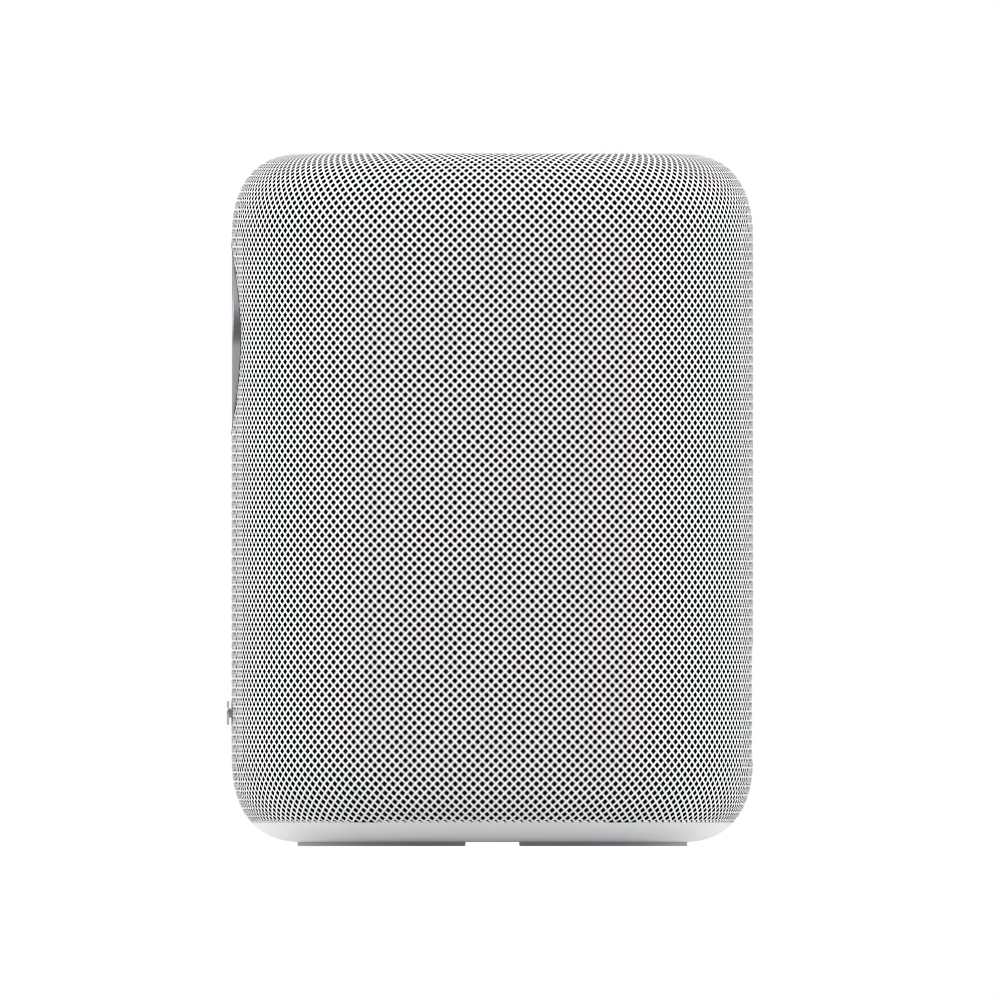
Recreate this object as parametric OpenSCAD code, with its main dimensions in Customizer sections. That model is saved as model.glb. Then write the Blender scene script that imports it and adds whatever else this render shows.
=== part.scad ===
// Smart speaker with a round front display, a woven fabric sleeve and a sealed woofer cabinet.
// Millimetres. +Z is up, the display faces -Y, and the origin is on the body's axis
// in the plane that the feet stand on.

/* [Body] */
// Width and depth of the body across its flats
body_w = 146; // [140:1:152]
// Height of the body without its feet
body_h = 192.7; // [188:0.1:200]
// Thickness of the foot pads that shows under the body
foot_h = 1.1; // [0.8:0.1:1.6]
// Superellipse power of the plan outline
plan_power = 2.45; // [2.3:0.05:2.6]
// Width of the rounded corner between wall and top
corner_w = 21; // [19:0.5:23]
// Height of the rounded corner between wall and top
corner_h = 25.2; // [24:0.2:28]
// Superellipse power of the rounded corner
corner_power = 2.5; // [2.2:0.1:2.8]
// Height of the seam between fabric and base above the resting plane
seam_z = 6.7; // [6:0.1:7.5]
// Thickness of the fabric sleeve
sleeve_t = 1.0; // [0.8:0.1:1.0]
// Thickness of the frame under the sleeve
frame_t = 2.0; // [1.6:0.1:2.0]

/* [Feet and top] */
// Half width of the foot ring's outer outline
foot_outer = 54.7; // [52:0.1:55]
// Half width of the foot ring's inner outline
foot_inner = 42; // [38:1:46]
// Gap between the two foot pads
foot_gap = 15; // [12:1:18]
// Half width of the touch panel
panel_half = 47; // [45:0.5:47]
// Depth of the touch panel below the fabric's top
panel_recess = 0.35; // [0.2:0.05:0.5]

/* [Display] */
// Height of the display's centre above the resting plane
display_z = 141.8; // [138:0.1:146]
// Outer radius of the display's metal ring
bezel_r = 26.15; // [26:0.05:26.2]
// Radius of the display's glass
glass_r = 24.4; // [24:0.1:24.4]
// Depth of the ring's front plane behind the widest part of the body
bezel_sink = 0.13; // [0:0.01:0.3]

/* [Badge] */
// Height of the badge's centre above the resting plane
badge_z = 37.2; // [34:0.1:40]
// Length of the badge
badge_l = 25; // [20:1:30]
// Height of the badge
badge_h = 6.7; // [6:0.1:8]
// Thickness of the badge
badge_t = 0.72; // [0.6:0.02:1]
// Distance between the badge's face and the widest part of the body
badge_proud = 1.32; // [1.2:0.02:1.5]

/* [Rear bay] */
// Half width of the rear bay's outline
bay_half_w = 12.2; // [12.2:0.1:13]
// Height of the rear bay's centre above the resting plane
bay_z = 39.5; // [39.5:0.5:41]
// Half height of the rear bay's outline
bay_half_h = 16.5; // [16.5:0.5:17]
// Distance from the body's axis to the bay's floor
bay_floor = 61; // [60.5:0.5:61.5]

/* [Woofer] */
// Height of the woofer's axis above the resting plane
woofer_z = 68; // [68:0.5:69]
// Outer radius of the woofer's frame
woofer_r = 52; // [51.5:0.1:52]
// Radius of the voice coil's former
coil_r = 15.9; // [15.9:0.05:16]

/* [Tweeters] */
// Height of the tweeters' axes above the resting plane
tweeter_z = 149; // [149:0.5:151]
// Angle by which each tweeter turns from the side towards the front
tweeter_turn = 25; // [23:1:26]
// Distance from the body's axis to the face that each tweeter is mounted on
tweeter_r = 57; // [56:0.5:58]

/* [Hidden] */

$fn = 64;
fit = 0.05;
gap = 0.3;
board_t = 1.6;
cut_from = 50;
cut_reach = 30;

// Body shell
half = body_w / 2;
flat_half = half - corner_w;
top_z = foot_h + body_h;
low_corner_z = foot_h + corner_h;
high_corner_z = top_z - corner_h;
shell_sides = 64;
lower_steps = 5;
upper_steps = 9;
frame_inset = sleeve_t + fit;
inner_inset = frame_inset + frame_t;
inner_half = half - inner_inset;
panel_hole = panel_half + 0.4;
frame_hole = panel_half - 4;

// Display
bezel_h = half - bezel_sink;
housing_h = 68.8;
wall_h = 60;
wall_t = 3;
wall_top = 174;
housing_r = 28;
display_screw_r = 20;
ribbon_z = display_z - 7.8;
ribbon_half = 7;

// Badge
badge_face = half + badge_proud;
stud_x = 8;
stud_r = 0.75;

// Rear bay
bay_corner = 4;
bay_wall = 1.4;
bay_floor_t = 2;
inlet_z = bay_z - 8;
inlet_half_x = 9.9;
inlet_half_z = 6.2;
inlet_depth = 19;
pin_x = 4.3;
pin_r = 1.15;
pin_well = 11.7;
control_z = bay_z + 7.5;
jack_x = -7.4;
jack_r = 1.8;
jack_depth = 14;
jack_collar_r = 3;
button_x = 8;
button_r = 2.2;
button_travel = 0.8;
switch_x = -0.6;
switch_half = 1.8;
switch_travel = 2;
port_board_y = 44;
port_board_z0 = bay_z - 0.5;
port_board_z1 = bay_z + 16.5;

// Cabinet
cabinet_half = 67;
cabinet_wall = 3;
cabinet_z0 = 14;
cabinet_z1 = 122;
baffle_y = -48;
baffle_t = 5.5;
seal_t = 0.5;
tub_y0 = baffle_y + baffle_t + seal_t;
tub_y1 = 38;
cabinet_screw_x = 49;
cabinet_screw_zs = [cabinet_z0 + 7.5, cabinet_z1 - 7.5];
cabinet_boss_r = 5.2;

// Woofer, by distance in front of the body's axis
flange_h = 48.8;
flange_t = 2.5;
spider_h = 30;
gap_plate_h0 = 17;
gap_plate_h1 = 22;
magnet_h0 = 3;
yoke_h0 = -2;
pole_r = 15.2;
woofer_screw_r = 49.6;

// Tweeters
tweeter_screw_r = 21.2;
tweeter_cup_r = 16;
tweeter_cup_t = 10;

// Chassis and boards
plate_z = cabinet_z1;
plate_t = 3;
standoff_h = 4;
main_z = plate_z + plate_t + standoff_h;
main_top = main_z + board_t;
touch_z = 186;
touch_half = 54;
post_places = [[-42, 34], [42, 34], [-20, -50], [20, -50]];
mic_place = 29;
power_y = 43;
base_plate_z = seam_z + 0.2;
base_screw_places = [[-36, 36], [36, 36], [-36, -36], [36, -36]];
cable_hole = [0, 10];
cable_hole_r = 5;
wire_r = 0.9;

// ---- Shapes that repeat ----

// Distance from centre to outline of a superellipse of half width 1
function outline_at(angle) =
    1 / pow(pow(abs(cos(angle)), plan_power) + pow(abs(sin(angle)), plan_power), 1 / plan_power);

// Points of the body's plan outline at a half width
function outline(half_w, sides) =
    [for (i = [0 : sides - 1]) let (a = 360 * i / sides) half_w * outline_at(a) * [cos(a), sin(a)]];

// Half width and rise of the rounded corner at angle t, for a layer inset from the outside
function corner_half(t, inset) = flat_half + (corner_w - inset) * pow(max(0, cos(t)), 2 / corner_power);
function corner_rise(t, inset) = (corner_h - inset) * pow(max(0, sin(t)), 2 / corner_power);

// Angle at which the lower corner of a layer reaches height z
function corner_angle(z, inset) = asin(pow((low_corner_z - z) / (corner_h - inset), corner_power / 2));

// [height, half width] of rings up the lower corner of a layer, from height z to the wall
function lower_rings(inset, z, count) = let (top_t = corner_angle(z, inset))
    [for (i = [0 : count]) let (t = top_t * (1 - i / count))
        [low_corner_z - corner_rise(t, inset), corner_half(t, inset)]];

// [height, half width] of rings from the wall up to the flat top of a layer
function upper_rings(inset, count) =
    [for (i = [0 : count]) let (t = 90 * i / count)
        [high_corner_z + corner_rise(t, inset), corner_half(t, inset)]];

function reversed(list) = [for (i = [len(list) - 1 : -1 : 0]) list[i]];

// Solid through rings of the plan outline. A closed profile is a hollow shell, and an open one
// starts at its lowest ring and is capped at both ends.
module loft(profile, sides, closed) {
    n = len(profile);
    points = [for (p = profile) for (q = outline(p[1], sides)) [q[0], q[1], p[0]]];
    bands = [for (k = [0 : closed ? n - 1 : n - 2]) for (i = [0 : sides - 1])
        let (a = k * sides, b = ((k + 1) % n) * sides, j = (i + 1) % sides)
            [a + i, b + i, b + j, a + j]];
    caps = closed ? [] : [[for (i = [0 : sides - 1]) i],
        [for (i = [sides - 1 : -1 : 0]) (n - 1) * sides + i]];
    polyhedron(points, concat(bands, caps), convexity = 6);
}

// Layer of the body's shell between two insets, from height z to a hole in its flat top
module shell_layer(outer, inner, z, hole_half)
    loft(concat(lower_rings(outer, z, lower_steps), upper_rings(outer, upper_steps),
        [[top_z - outer, hole_half], [top_z - inner, hole_half]],
        reversed(upper_rings(inner, upper_steps)), reversed(lower_rings(inner, z, lower_steps))),
        shell_sides, true);

// Straight prism with the body's plan outline
module outline_plate(half_w, z0, z1, sides = 96)
    translate([0, 0, z0]) linear_extrude(z1 - z0) polygon(outline(half_w, sides));

// Rectangle with round corners, centred
module round_rect(half_x, half_y, r) {
    square([2 * half_x, 2 * (half_y - r)], center = true);
    square([2 * (half_x - r), 2 * half_y], center = true);
    for (x = [-1, 1], y = [-1, 1]) translate([x * (half_x - r), y * (half_y - r)]) circle(r);
}

module tube(outer_r, inner_r, z0, z1)
    difference() {
        translate([0, 0, z0]) cylinder(r = outer_r, h = z1 - z0);
        translate([0, 0, z0 - 1]) cylinder(r = inner_r, h = z1 - z0 + 2);
    }

module block(low, high) translate(low) cube(high - low);

// Children with local +Z towards the front, and local Z as distance in front of the axis
module facing_front(x, z) translate([x, 0, z]) rotate([90, 0, 0]) children();

// Children with local +Z towards the rear
module facing_rear(x, z) translate([x, 0, z]) rotate([-90, 0, 0]) children();

// Children on a tweeter's axis, with local +Z outwards from its mounting face. side is -1 or 1
module at_tweeter(side)
    translate([0, 0, tweeter_z])
        rotate([0, 0, side > 0 ? -tweeter_turn : 180 + tweeter_turn])
            translate([tweeter_r, 0, 0]) rotate([0, 90, 0]) children();

// Pan head screw with its head above z = 0 and its shank below
module screw(shank_r, head_r, head_h, length)
    difference() {
        union() {
            cylinder(r = head_r, h = head_h);
            translate([0, 0, -length]) cylinder(r = shank_r, h = length);
        }
        for (a = [0, 90]) rotate([0, 0, a])
            translate([-head_r * 0.6, -head_r * 0.12, head_h * 0.45])
                cube([head_r * 1.2, head_r * 0.24, head_h]);
    }

// Round wire along points [y, z] of the plane x = 0
module wire(route, r) {
    sides = 8;
    n = len(route);
    points = [for (i = [0 : n - 1])
        let (d = route[min(i + 1, n - 1)] - route[max(i - 1, 0)], u = d / norm(d))
            for (k = [0 : sides - 1]) let (a = 360 * k / sides)
                [r * cos(a), route[i][0] - r * sin(a) * u[1], route[i][1] + r * sin(a) * u[0]]];
    walls = [for (i = [0 : n - 2]) for (k = [0 : sides - 1]) let (m = (k + 1) % sides)
        [i * sides + k, i * sides + m, (i + 1) * sides + m, (i + 1) * sides + k]];
    ends = [[for (k = [sides - 1 : -1 : 0]) k], [for (k = [0 : sides - 1]) (n - 1) * sides + k]];
    polyhedron(points, concat(walls, ends));
}

// ---- Outside ----

module rear_bay_hole(clear)
    facing_rear(0, bay_z) translate([0, 0, bay_floor - bay_floor_t - clear])
        linear_extrude(30) round_rect(bay_half_w + clear, bay_half_h + clear, bay_corner);

module badge_stud_holes()
    for (x = [-stud_x, stud_x]) facing_front(x, badge_z)
        translate([0, 0, cut_from]) cylinder(r = stud_r + 0.15, h = cut_reach);

module fabric_sleeve()
    color("white")
        difference() {
            shell_layer(0, sleeve_t, seam_z, panel_hole);
            facing_front(0, display_z) translate([0, 0, cut_from])
                cylinder(r = bezel_r + 0.65, h = cut_reach);
            rear_bay_hole(0.1);
            badge_stud_holes();
        }

module grille_frame()
    color("#101112")
        difference() {
            shell_layer(frame_inset, inner_inset, base_plate_z, frame_hole);
            facing_front(0, display_z) translate([0, 0, cut_from])
                cylinder(r = housing_r + gap, h = cut_reach);
            intersection() {
                facing_front(0, woofer_z + 2) translate([0, 0, cut_from]) cylinder(r = 40, h = cut_reach);
                block([-80, -80, badge_z + 9], [80, 0, display_z]);
            }
            for (side = [-1, 1]) at_tweeter(side) cylinder(r = 18, h = 30);
            rear_bay_hole(0.1);
            badge_stud_holes();
        }

module base_cap()
    color("#eceef0")
        difference() {
            wall = 2.2;
            floor_z = foot_h + 2.5;
            rim_z = seam_z - 0.1;
            rim_t = corner_angle(rim_z, 0);
            rings = [for (i = [0 : 7]) let (t = 90 - (90 - rim_t) * i / 7)
                [low_corner_z - corner_rise(t, 0), corner_half(t, 0)]];
            loft(concat(rings, [[rim_z, corner_half(rim_t, 0) - wall], [floor_z, flat_half + 8]]),
                shell_sides, false);
            for (p = base_screw_places) translate([p[0], p[1], foot_h - 1]) {
                cylinder(r = 1.7, h = 6);
                cylinder(r = 3.3, h = 2.4);
            }
        }

module foot_pad(side)
    color("#55575a")
        difference() {
            outline_plate(foot_outer, 0, foot_h);
            outline_plate(foot_inner, -1, foot_h + 1);
            translate([0, side * -100 + side * foot_gap / 2, 0]) cube([200, 200, 10], center = true);
        }

module front_foot_pad() foot_pad(-1);
module rear_foot_pad() foot_pad(1);

module top_panel()
    color("#f2f3f4")
        difference() {
            seat_z = top_z - frame_inset + fit;
            union() {
                outline_plate(panel_half, seat_z, top_z - panel_recess);
                outline_plate(frame_hole - 0.2, seat_z - 2, seat_z + 0.1);
            }
            for (x = [-mic_place, mic_place], y = [-mic_place, mic_place])
                translate([x, y, seat_z - 3]) cylinder(r = 0.6, h = 6, $fn = 24);
        }

// ---- Display ----

module display_bezel()
    color("#c4c7cb")
        facing_front(0, display_z)
            rotate_extrude($fn = 128)
                polygon([[glass_r + 0.1, 63], [bezel_r, 63], [bezel_r, bezel_h - 0.4],
                    [bezel_r - 0.4, bezel_h], [glass_r + 0.5, bezel_h], [glass_r + 0.1, bezel_h - 0.4]]);

module bezel_trim_ring()
    color("#2a2b2d")
        intersection() {
            facing_front(0, display_z) tube(bezel_r + 0.6, bezel_r + fit, housing_h, half + 1);
            outline_plate(half + 0.05, display_z - 30, display_z + 30);
        }

module display_glass()
    color("#0b0c0e")
        facing_front(0, display_z)
            translate([0, 0, bezel_h - 1.4]) cylinder(r = glass_r, h = 1.2, $fn = 128);

module display_panel()
    color("#1c2026")
        facing_front(0, display_z)
            translate([0, 0, bezel_h - 4]) cylinder(r = glass_r - 0.4, h = 2.6, $fn = 128);

module display_housing()
    color("#1a1b1d")
        difference() {
            facing_front(0, display_z) difference() {
                translate([0, 0, wall_h]) cylinder(r = housing_r, h = housing_h - wall_h);
                translate([0, 0, wall_h + 2]) cylinder(r = bezel_r + 0.2, h = 20);
                for (a = [45 : 90 : 315]) rotate([0, 0, a])
                    translate([display_screw_r, 0, wall_h - 1]) cylinder(r = 1, h = 4, $fn = 24);
            }
            block([-ribbon_half, -70, ribbon_z - 1], [ribbon_half, -50, ribbon_z + 2]);
        }

module display_screws()
    color("#8d9095")
        facing_front(0, display_z)
            for (a = [45 : 90 : 315]) rotate([0, 0, a])
                translate([display_screw_r, 0, wall_h - wall_t])
                    rotate([180, 0, 0]) screw(0.95, 2, 1.2, 4.8, $fn = 24);

module display_ribbon()
    color("#b5762b")
        translate([1 - ribbon_half, 0, 0]) rotate([90, 0, 90]) linear_extrude(2 * ribbon_half - 2) {
            back_y = 4 - bezel_h;
            polygon([[back_y, ribbon_z], [-49, ribbon_z], [-43, main_top], [-38, main_top],
                [-38, main_top + 0.3], [-42.8, main_top + 0.3], [-48.8, ribbon_z + 0.3],
                [back_y, ribbon_z + 0.3]]);
        }

// ---- Badge ----

module pill(length, height, thickness) {
    cube([length - height, height, thickness], center = true);
    for (x = [-1, 1]) translate([x * (length - height) / 2, 0, 0])
        cylinder(d = height, h = thickness, center = true);
}

module badge_plate()
    color("#b4b7ba")
        facing_front(0, badge_z) {
            translate([0, 0, badge_face - badge_t / 2]) pill(badge_l, badge_h, badge_t);
            for (x = [-stud_x, stud_x]) translate([x, 0, half - 4])
                cylinder(r = stud_r, h = 4 + badge_proud - badge_t / 2, $fn = 24);
        }

module badge_spacer()
    color("white")
        for (x = [-stud_x, stud_x]) facing_front(x, badge_z)
            tube(stud_r + 0.5, stud_r + fit, half - 0.09, badge_face - badge_t);

// ---- Rear bay ----

module rear_panel()
    color("#e6e8ea")
        difference() {
            facing_rear(0, bay_z) translate([0, 0, bay_floor - bay_floor_t])
                linear_extrude(bay_floor_t) round_rect(bay_half_w, bay_half_h, bay_corner);
            facing_rear(0, inlet_z) translate([0, 0, cut_from])
                linear_extrude(cut_reach) round_rect(inlet_half_x + 0.15, inlet_half_z + 0.15, 3);
            facing_rear(jack_x, control_z) translate([0, 0, cut_from])
                cylinder(r = jack_collar_r + 0.2, h = cut_reach);
            facing_rear(button_x, control_z) translate([0, 0, cut_from])
                cylinder(r = button_r + gap, h = cut_reach);
            facing_rear(switch_x + switch_travel / 2, control_z) translate([0, 0, cut_from])
                linear_extrude(cut_reach) round_rect(switch_half + switch_travel / 2 + gap, 1.7, 0.8);
        }

module rear_trim()
    color("#e6e8ea")
        difference() {
            intersection() {
                outline_plate(half, bay_z - 30, bay_z + 30);
                facing_rear(0, bay_z) translate([0, 0, bay_floor])
                    linear_extrude(30) round_rect(bay_half_w, bay_half_h, bay_corner);
            }
            facing_rear(0, bay_z) translate([0, 0, bay_floor - 1]) linear_extrude(30)
                round_rect(bay_half_w - bay_wall, bay_half_h - bay_wall, bay_corner - bay_wall);
        }

module mains_inlet()
    color("#17181a")
        facing_rear(0, inlet_z)
            difference() {
                translate([0, 0, bay_floor - inlet_depth]) linear_extrude(inlet_depth + gap)
                    round_rect(inlet_half_x, inlet_half_z, 2.8);
                translate([0, 0, bay_floor - pin_well]) {
                    for (x = [-pin_x, pin_x]) translate([x, 0, 0]) cylinder(r = 4.1, h = 20);
                    translate([-pin_x, -3, 0]) cube([2 * pin_x, 6, 20]);
                }
                for (x = [-pin_x, pin_x]) translate([x, 0, bay_floor - inlet_depth - 1])
                    cylinder(r = pin_r, h = inlet_depth);
            }

module inlet_pins()
    color("#d5d7d9")
        facing_rear(0, inlet_z)
            for (x = [-pin_x, pin_x]) translate([x, 0, bay_floor - inlet_depth - 2])
                cylinder(r = pin_r, h = inlet_depth - 0.6);

module line_in_socket()
    color("#202124")
        facing_rear(jack_x, control_z)
            difference() {
                body_y = port_board_y + board_t;
                union() {
                    translate([-3.3, -4, body_y]) cube([6.6, 8, bay_floor - bay_floor_t - fit - body_y]);
                    translate([0, 0, body_y]) cylinder(r = jack_collar_r, h = bay_floor + gap - body_y);
                }
                translate([0, 0, bay_floor + gap - jack_depth]) cylinder(r = jack_r, h = jack_depth + 1);
            }

module rear_button()
    color("#c9cccf")
        facing_rear(button_x, control_z) {
            flange_y = bay_floor - bay_floor_t - 2 * button_travel;
            stem_y = port_board_y + board_t + 4.6;
            translate([0, 0, flange_y]) cylinder(r = button_r, h = bay_floor + 1 - flange_y);
            translate([0, 0, flange_y]) cylinder(r = button_r + 0.7, h = 1.2);
            translate([0, 0, stem_y]) cylinder(r = 1.4, h = flange_y - stem_y);
        }

module mic_switch()
    color("#c9cccf")
        facing_rear(switch_x, control_z) {
            flange_y = bay_floor - bay_floor_t - 1.2;
            translate([-switch_half, -1.4, flange_y])
                cube([2 * switch_half, 2.8, bay_floor + 0.9 - flange_y]);
            translate([-3.3, -2.2, flange_y]) cube([6.8, 4.4, 0.9]);
        }

module port_board()
    color("#1f5a3c") {
        switch_mid = switch_x + switch_travel / 2;
        block([-12, port_board_y, port_board_z0], [12, port_board_y + board_t, port_board_z1]);
        facing_rear(0, control_z) translate([0, 0, port_board_y + board_t]) {
            translate([button_x - 3, -3, 0]) cube([6, 6, 3.4]);
            translate([switch_mid - 3.6, -2, 0]) cube([7.2, 4, 12]);
        }
    }

// ---- Woofer, turned about its own axis ----

module on_woofer_axis() facing_front(0, woofer_z) children();

module woofer_frame()
    color("#26282b")
        on_woofer_axis() {
            difference() {
                rotate_extrude()
                    polygon([[woofer_r, flange_h], [woofer_r, flange_h + flange_t],
                        [48.2, flange_h + flange_t], [48.2, flange_h + 1.5], [44, flange_h + 1.5],
                        [44, flange_h], [42.5, 44], [37.5, spider_h], [33.5, spider_h], [33.5, 24],
                        [25, 24], [25, gap_plate_h1], [38.5, gap_plate_h1], [41, spider_h], [45.5, 44],
                        [45.8, flange_h]]);
                for (a = [0 : 60 : 300]) rotate([0, 0, a + 30])
                    translate([35.5, -14, spider_h + 3]) cube([14, 28, 9]);
                for (a = [45 : 90 : 315]) rotate([0, 0, a])
                    translate([woofer_screw_r, 0, 40]) cylinder(r = 1.6, h = 20, $fn = 24);
            }
            translate([-5, 40.5, spider_h - 3]) cube([10, 4, 6]);
        }

module woofer_surround()
    color("#0f0f10")
        on_woofer_axis()
            rotate_extrude() {
                roll_r = 3.4;
                roll_mid = 40.6;
                base_h = flange_h + 1.5;
                outer_arc = [for (a = [15 : 15 : 180])
                    [roll_mid + roll_r * cos(a), base_h + roll_r * sin(a)]];
                inner_arc = [for (a = [180 : -15 : 0])
                    [roll_mid + (roll_r - 0.6) * cos(a), base_h + (roll_r - 0.6) * sin(a)]];
                polygon(concat([[48, base_h], [48, base_h + 0.6], [44.1, base_h + 0.6]], outer_arc,
                    [[35, base_h], [35, base_h - 0.6], [37.8, base_h - 0.6]], inner_arc,
                    [[44, base_h]]));
            }

module woofer_cone()
    color("#1b1b1c")
        on_woofer_axis()
            rotate_extrude()
                polygon([[coil_r + fit, 36.5], [coil_r + 1, 36.8], [35.2, 47.4], [35.6, 48.9], [37.4, 48.9],
                    [37.4, 49.7], [35, 49.7], [34.6, 48.3], [coil_r + 0.6, 38.2], [coil_r + fit, 38.2]]);

module woofer_dust_cap()
    color("#232325")
        on_woofer_axis()
            rotate_extrude() {
                rim_r = coil_r + 1.1;
                rim_h = 38.5;
                rise = 5;
                cap = function (r, lift) [r, rim_h + lift + rise * (1 - pow(r / rim_r, 2))];
                polygon(concat([for (i = [0 : 8]) cap(rim_r * i / 8, 0)],
                    [for (i = [8 : -1 : 0]) cap(rim_r * i / 8, 0.5)]));
            }

module woofer_voice_coil()
    color("#b87333")
        on_woofer_axis() {
            tube(coil_r, coil_r - 0.4, 13, 38.2);
            tube(coil_r + 0.6, coil_r, 13, 26);
        }

module woofer_spider()
    color("#c9a86a")
        on_woofer_axis()
            rotate_extrude() {
                inner_r = coil_r + fit;
                outer_r = 37;
                wave_r = 33;
                waves = 5;
                wave = function (r)
                    spider_h + 0.3 + 0.9 * sin(360 * waves * (r - inner_r) / (wave_r - inner_r));
                radii = [for (i = [0 : 40]) inner_r + (wave_r - inner_r) * i / 40];
                polygon(concat([for (r = radii) [r, wave(r) - 0.25]], [[outer_r, spider_h + 0.05]],
                    [[outer_r, spider_h + 0.55]],
                    [for (i = [40 : -1 : 0]) [radii[i], wave(radii[i]) + 0.25]]));
            }

module woofer_top_plate()
    color("#8b8e92") on_woofer_axis() tube(38, coil_r + 1, gap_plate_h0, gap_plate_h1);

module woofer_magnet()
    color("#2b2a2a") on_woofer_axis() tube(40, 21, magnet_h0, gap_plate_h0);

module woofer_yoke()
    color("#8b8e92")
        on_woofer_axis()
            difference() {
                union() {
                    translate([0, 0, yoke_h0]) cylinder(r = 38, h = magnet_h0 - yoke_h0);
                    cylinder(r = pole_r, h = gap_plate_h1 + 0.5);
                }
                translate([0, 0, yoke_h0 - 1]) cylinder(r = 4, h = 40);
            }

module woofer_gasket()
    color("#3a3b3d")
        on_woofer_axis()
            difference() {
                tube(woofer_r, 46.6, -baffle_y, flange_h);
                for (a = [45 : 90 : 315]) rotate([0, 0, a])
                    translate([woofer_screw_r, 0, 40]) cylinder(r = 1.6, h = 20, $fn = 24);
            }

module woofer_screws()
    color("#54575b")
        on_woofer_axis()
            for (a = [45 : 90 : 315]) rotate([0, 0, a])
                translate([woofer_screw_r, 0, flange_h + flange_t]) screw(1.45, 2.2, 1.5, 7.5, $fn = 24);

// ---- Tweeters, turned about their own axes ----

module tweeter_faceplate(side)
    color("#222326")
        at_tweeter(side)
            difference() {
                rotate_extrude()
                    polygon([[14.6, -0.4], [16, -0.4], [16, 0], [23.5, 0], [23.5, 1.8], [23, 2.4],
                        [20.5, 2.4], [17, 1.6], [14.6, 0.6]]);
                for (a = [0 : 90 : 270]) rotate([0, 0, a])
                    translate([tweeter_screw_r, 0, -1]) cylinder(r = 1.1, h = 5, $fn = 24);
            }

module tweeter_dome(side)
    color("#191a1b")
        at_tweeter(side)
            rotate_extrude() {
                dome_h = 4;
                dome_r = 12.4;
                shell = function (r, lift) [r, 0.3 + lift + dome_h * (1 - pow(r / dome_r, 2))];
                polygon(concat([for (i = [0 : 8]) shell(dome_r * i / 8, 0)], [[dome_r, -3.4], [12.9, -3.4],
                    [12.9, 0.2], [14.2, 0.2], [14.2, 0.6], [12.9, 0.9]],
                    [for (i = [8 : -1 : 0]) shell(dome_r * i / 8, 0.4)]));
            }

module tweeter_cup(side)
    color("#7d8084")
        at_tweeter(side)
            difference() {
                translate([0, 0, -tweeter_cup_t]) cylinder(r = tweeter_cup_r, h = tweeter_cup_t - 0.4);
                translate([0, 0, 1.8 - tweeter_cup_t]) cylinder(r = 13.3, h = tweeter_cup_t);
            }

module tweeter_magnet(side)
    color("#a9acb0")
        at_tweeter(side) {
            translate([0, 0, 1.8 - tweeter_cup_t]) cylinder(r = 11.4, h = 4.8);
            translate([0, 0, -3.4]) cylinder(r = 12, h = 2.2);
        }

module left_tweeter_faceplate() tweeter_faceplate(-1);
module right_tweeter_faceplate() tweeter_faceplate(1);
module left_tweeter_dome() tweeter_dome(-1);
module right_tweeter_dome() tweeter_dome(1);
module left_tweeter_cup() tweeter_cup(-1);
module right_tweeter_cup() tweeter_cup(1);
module left_tweeter_magnet() tweeter_magnet(-1);
module right_tweeter_magnet() tweeter_magnet(1);

module tweeter_screws()
    color("#54575b")
        for (side = [-1, 1]) at_tweeter(side)
            for (a = [0 : 90 : 270]) rotate([0, 0, a])
                translate([tweeter_screw_r, 0, 2.4]) screw(1, 1.9, 1, 4.8, $fn = 24);

// ---- Structure ----

module cabinet_slab(half_w, z0, z1, y0, y1)
    intersection() {
        outline_plate(half_w, z0, z1);
        block([-80, y0, z0 - 1], [80, y1, z1 + 1]);
    }

module cabinet_screw_holes(r, y0, y1)
    for (x = [-cabinet_screw_x, cabinet_screw_x], z = cabinet_screw_zs)
        facing_front(x, z) translate([0, 0, -y1]) cylinder(r = r, h = y1 - y0, $fn = 24);

module cabinet_front()
    color("#303236")
        difference() {
            cabinet_slab(cabinet_half, cabinet_z0, cabinet_z1, baffle_y, baffle_y + baffle_t);
            on_woofer_axis() translate([0, 0, 30]) cylinder(r = 46.4, h = cut_reach);
            on_woofer_axis() for (a = [45 : 90 : 315]) rotate([0, 0, a])
                translate([woofer_screw_r, 0, 30]) cylinder(r = 1.5, h = cut_reach, $fn = 24);
            cabinet_screw_holes(1.6, baffle_y - 1, tub_y0 + 1);
        }

module cabinet_rear()
    color("#303236")
        difference() {
            union() {
                difference() {
                    cabinet_slab(cabinet_half, cabinet_z0, cabinet_z1, tub_y0, tub_y1);
                    cabinet_slab(cabinet_half - cabinet_wall, cabinet_z0 + cabinet_wall,
                        cabinet_z1 - cabinet_wall, tub_y0 - 5, tub_y1 - cabinet_wall);
                }
                cabinet_screw_holes(cabinet_boss_r, tub_y0, tub_y0 + 22);
                for (x = [-9, 9], z = [port_board_z0 + 3, port_board_z1 - 3])
                    facing_rear(x, z) translate([0, 0, tub_y1 - 1])
                        cylinder(r = 2.5, h = port_board_y - tub_y1 + 1);
                for (x = [-34, 34], z = [66, 114])
                    facing_rear(x, z) translate([0, 0, tub_y1 - 1])
                        cylinder(r = 2.5, h = power_y - tub_y1 + 1);
            }
            cabinet_screw_holes(1.5, tub_y0 - 1, tub_y0 + 14);
            translate([cable_hole[0], cable_hole[1], cabinet_z1 - 10]) cylinder(r = cable_hole_r, h = 20);
        }

module cabinet_seal()
    color("#1f1f20")
        difference() {
            cabinet_slab(cabinet_half - 0.5, cabinet_z0 + 0.5, cabinet_z1 - 0.5, tub_y0 - seal_t, tub_y0);
            cabinet_slab(cabinet_half - 2.5, cabinet_z0 + 2.5, cabinet_z1 - 2.5, tub_y0 - 5, tub_y0 + 5);
        }

module cabinet_screws()
    color("#54575b")
        for (x = [-cabinet_screw_x, cabinet_screw_x], z = cabinet_screw_zs)
            facing_front(x, z) translate([0, 0, -baffle_y]) screw(1.45, 2.8, 1.6, 14, $fn = 24);

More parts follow.
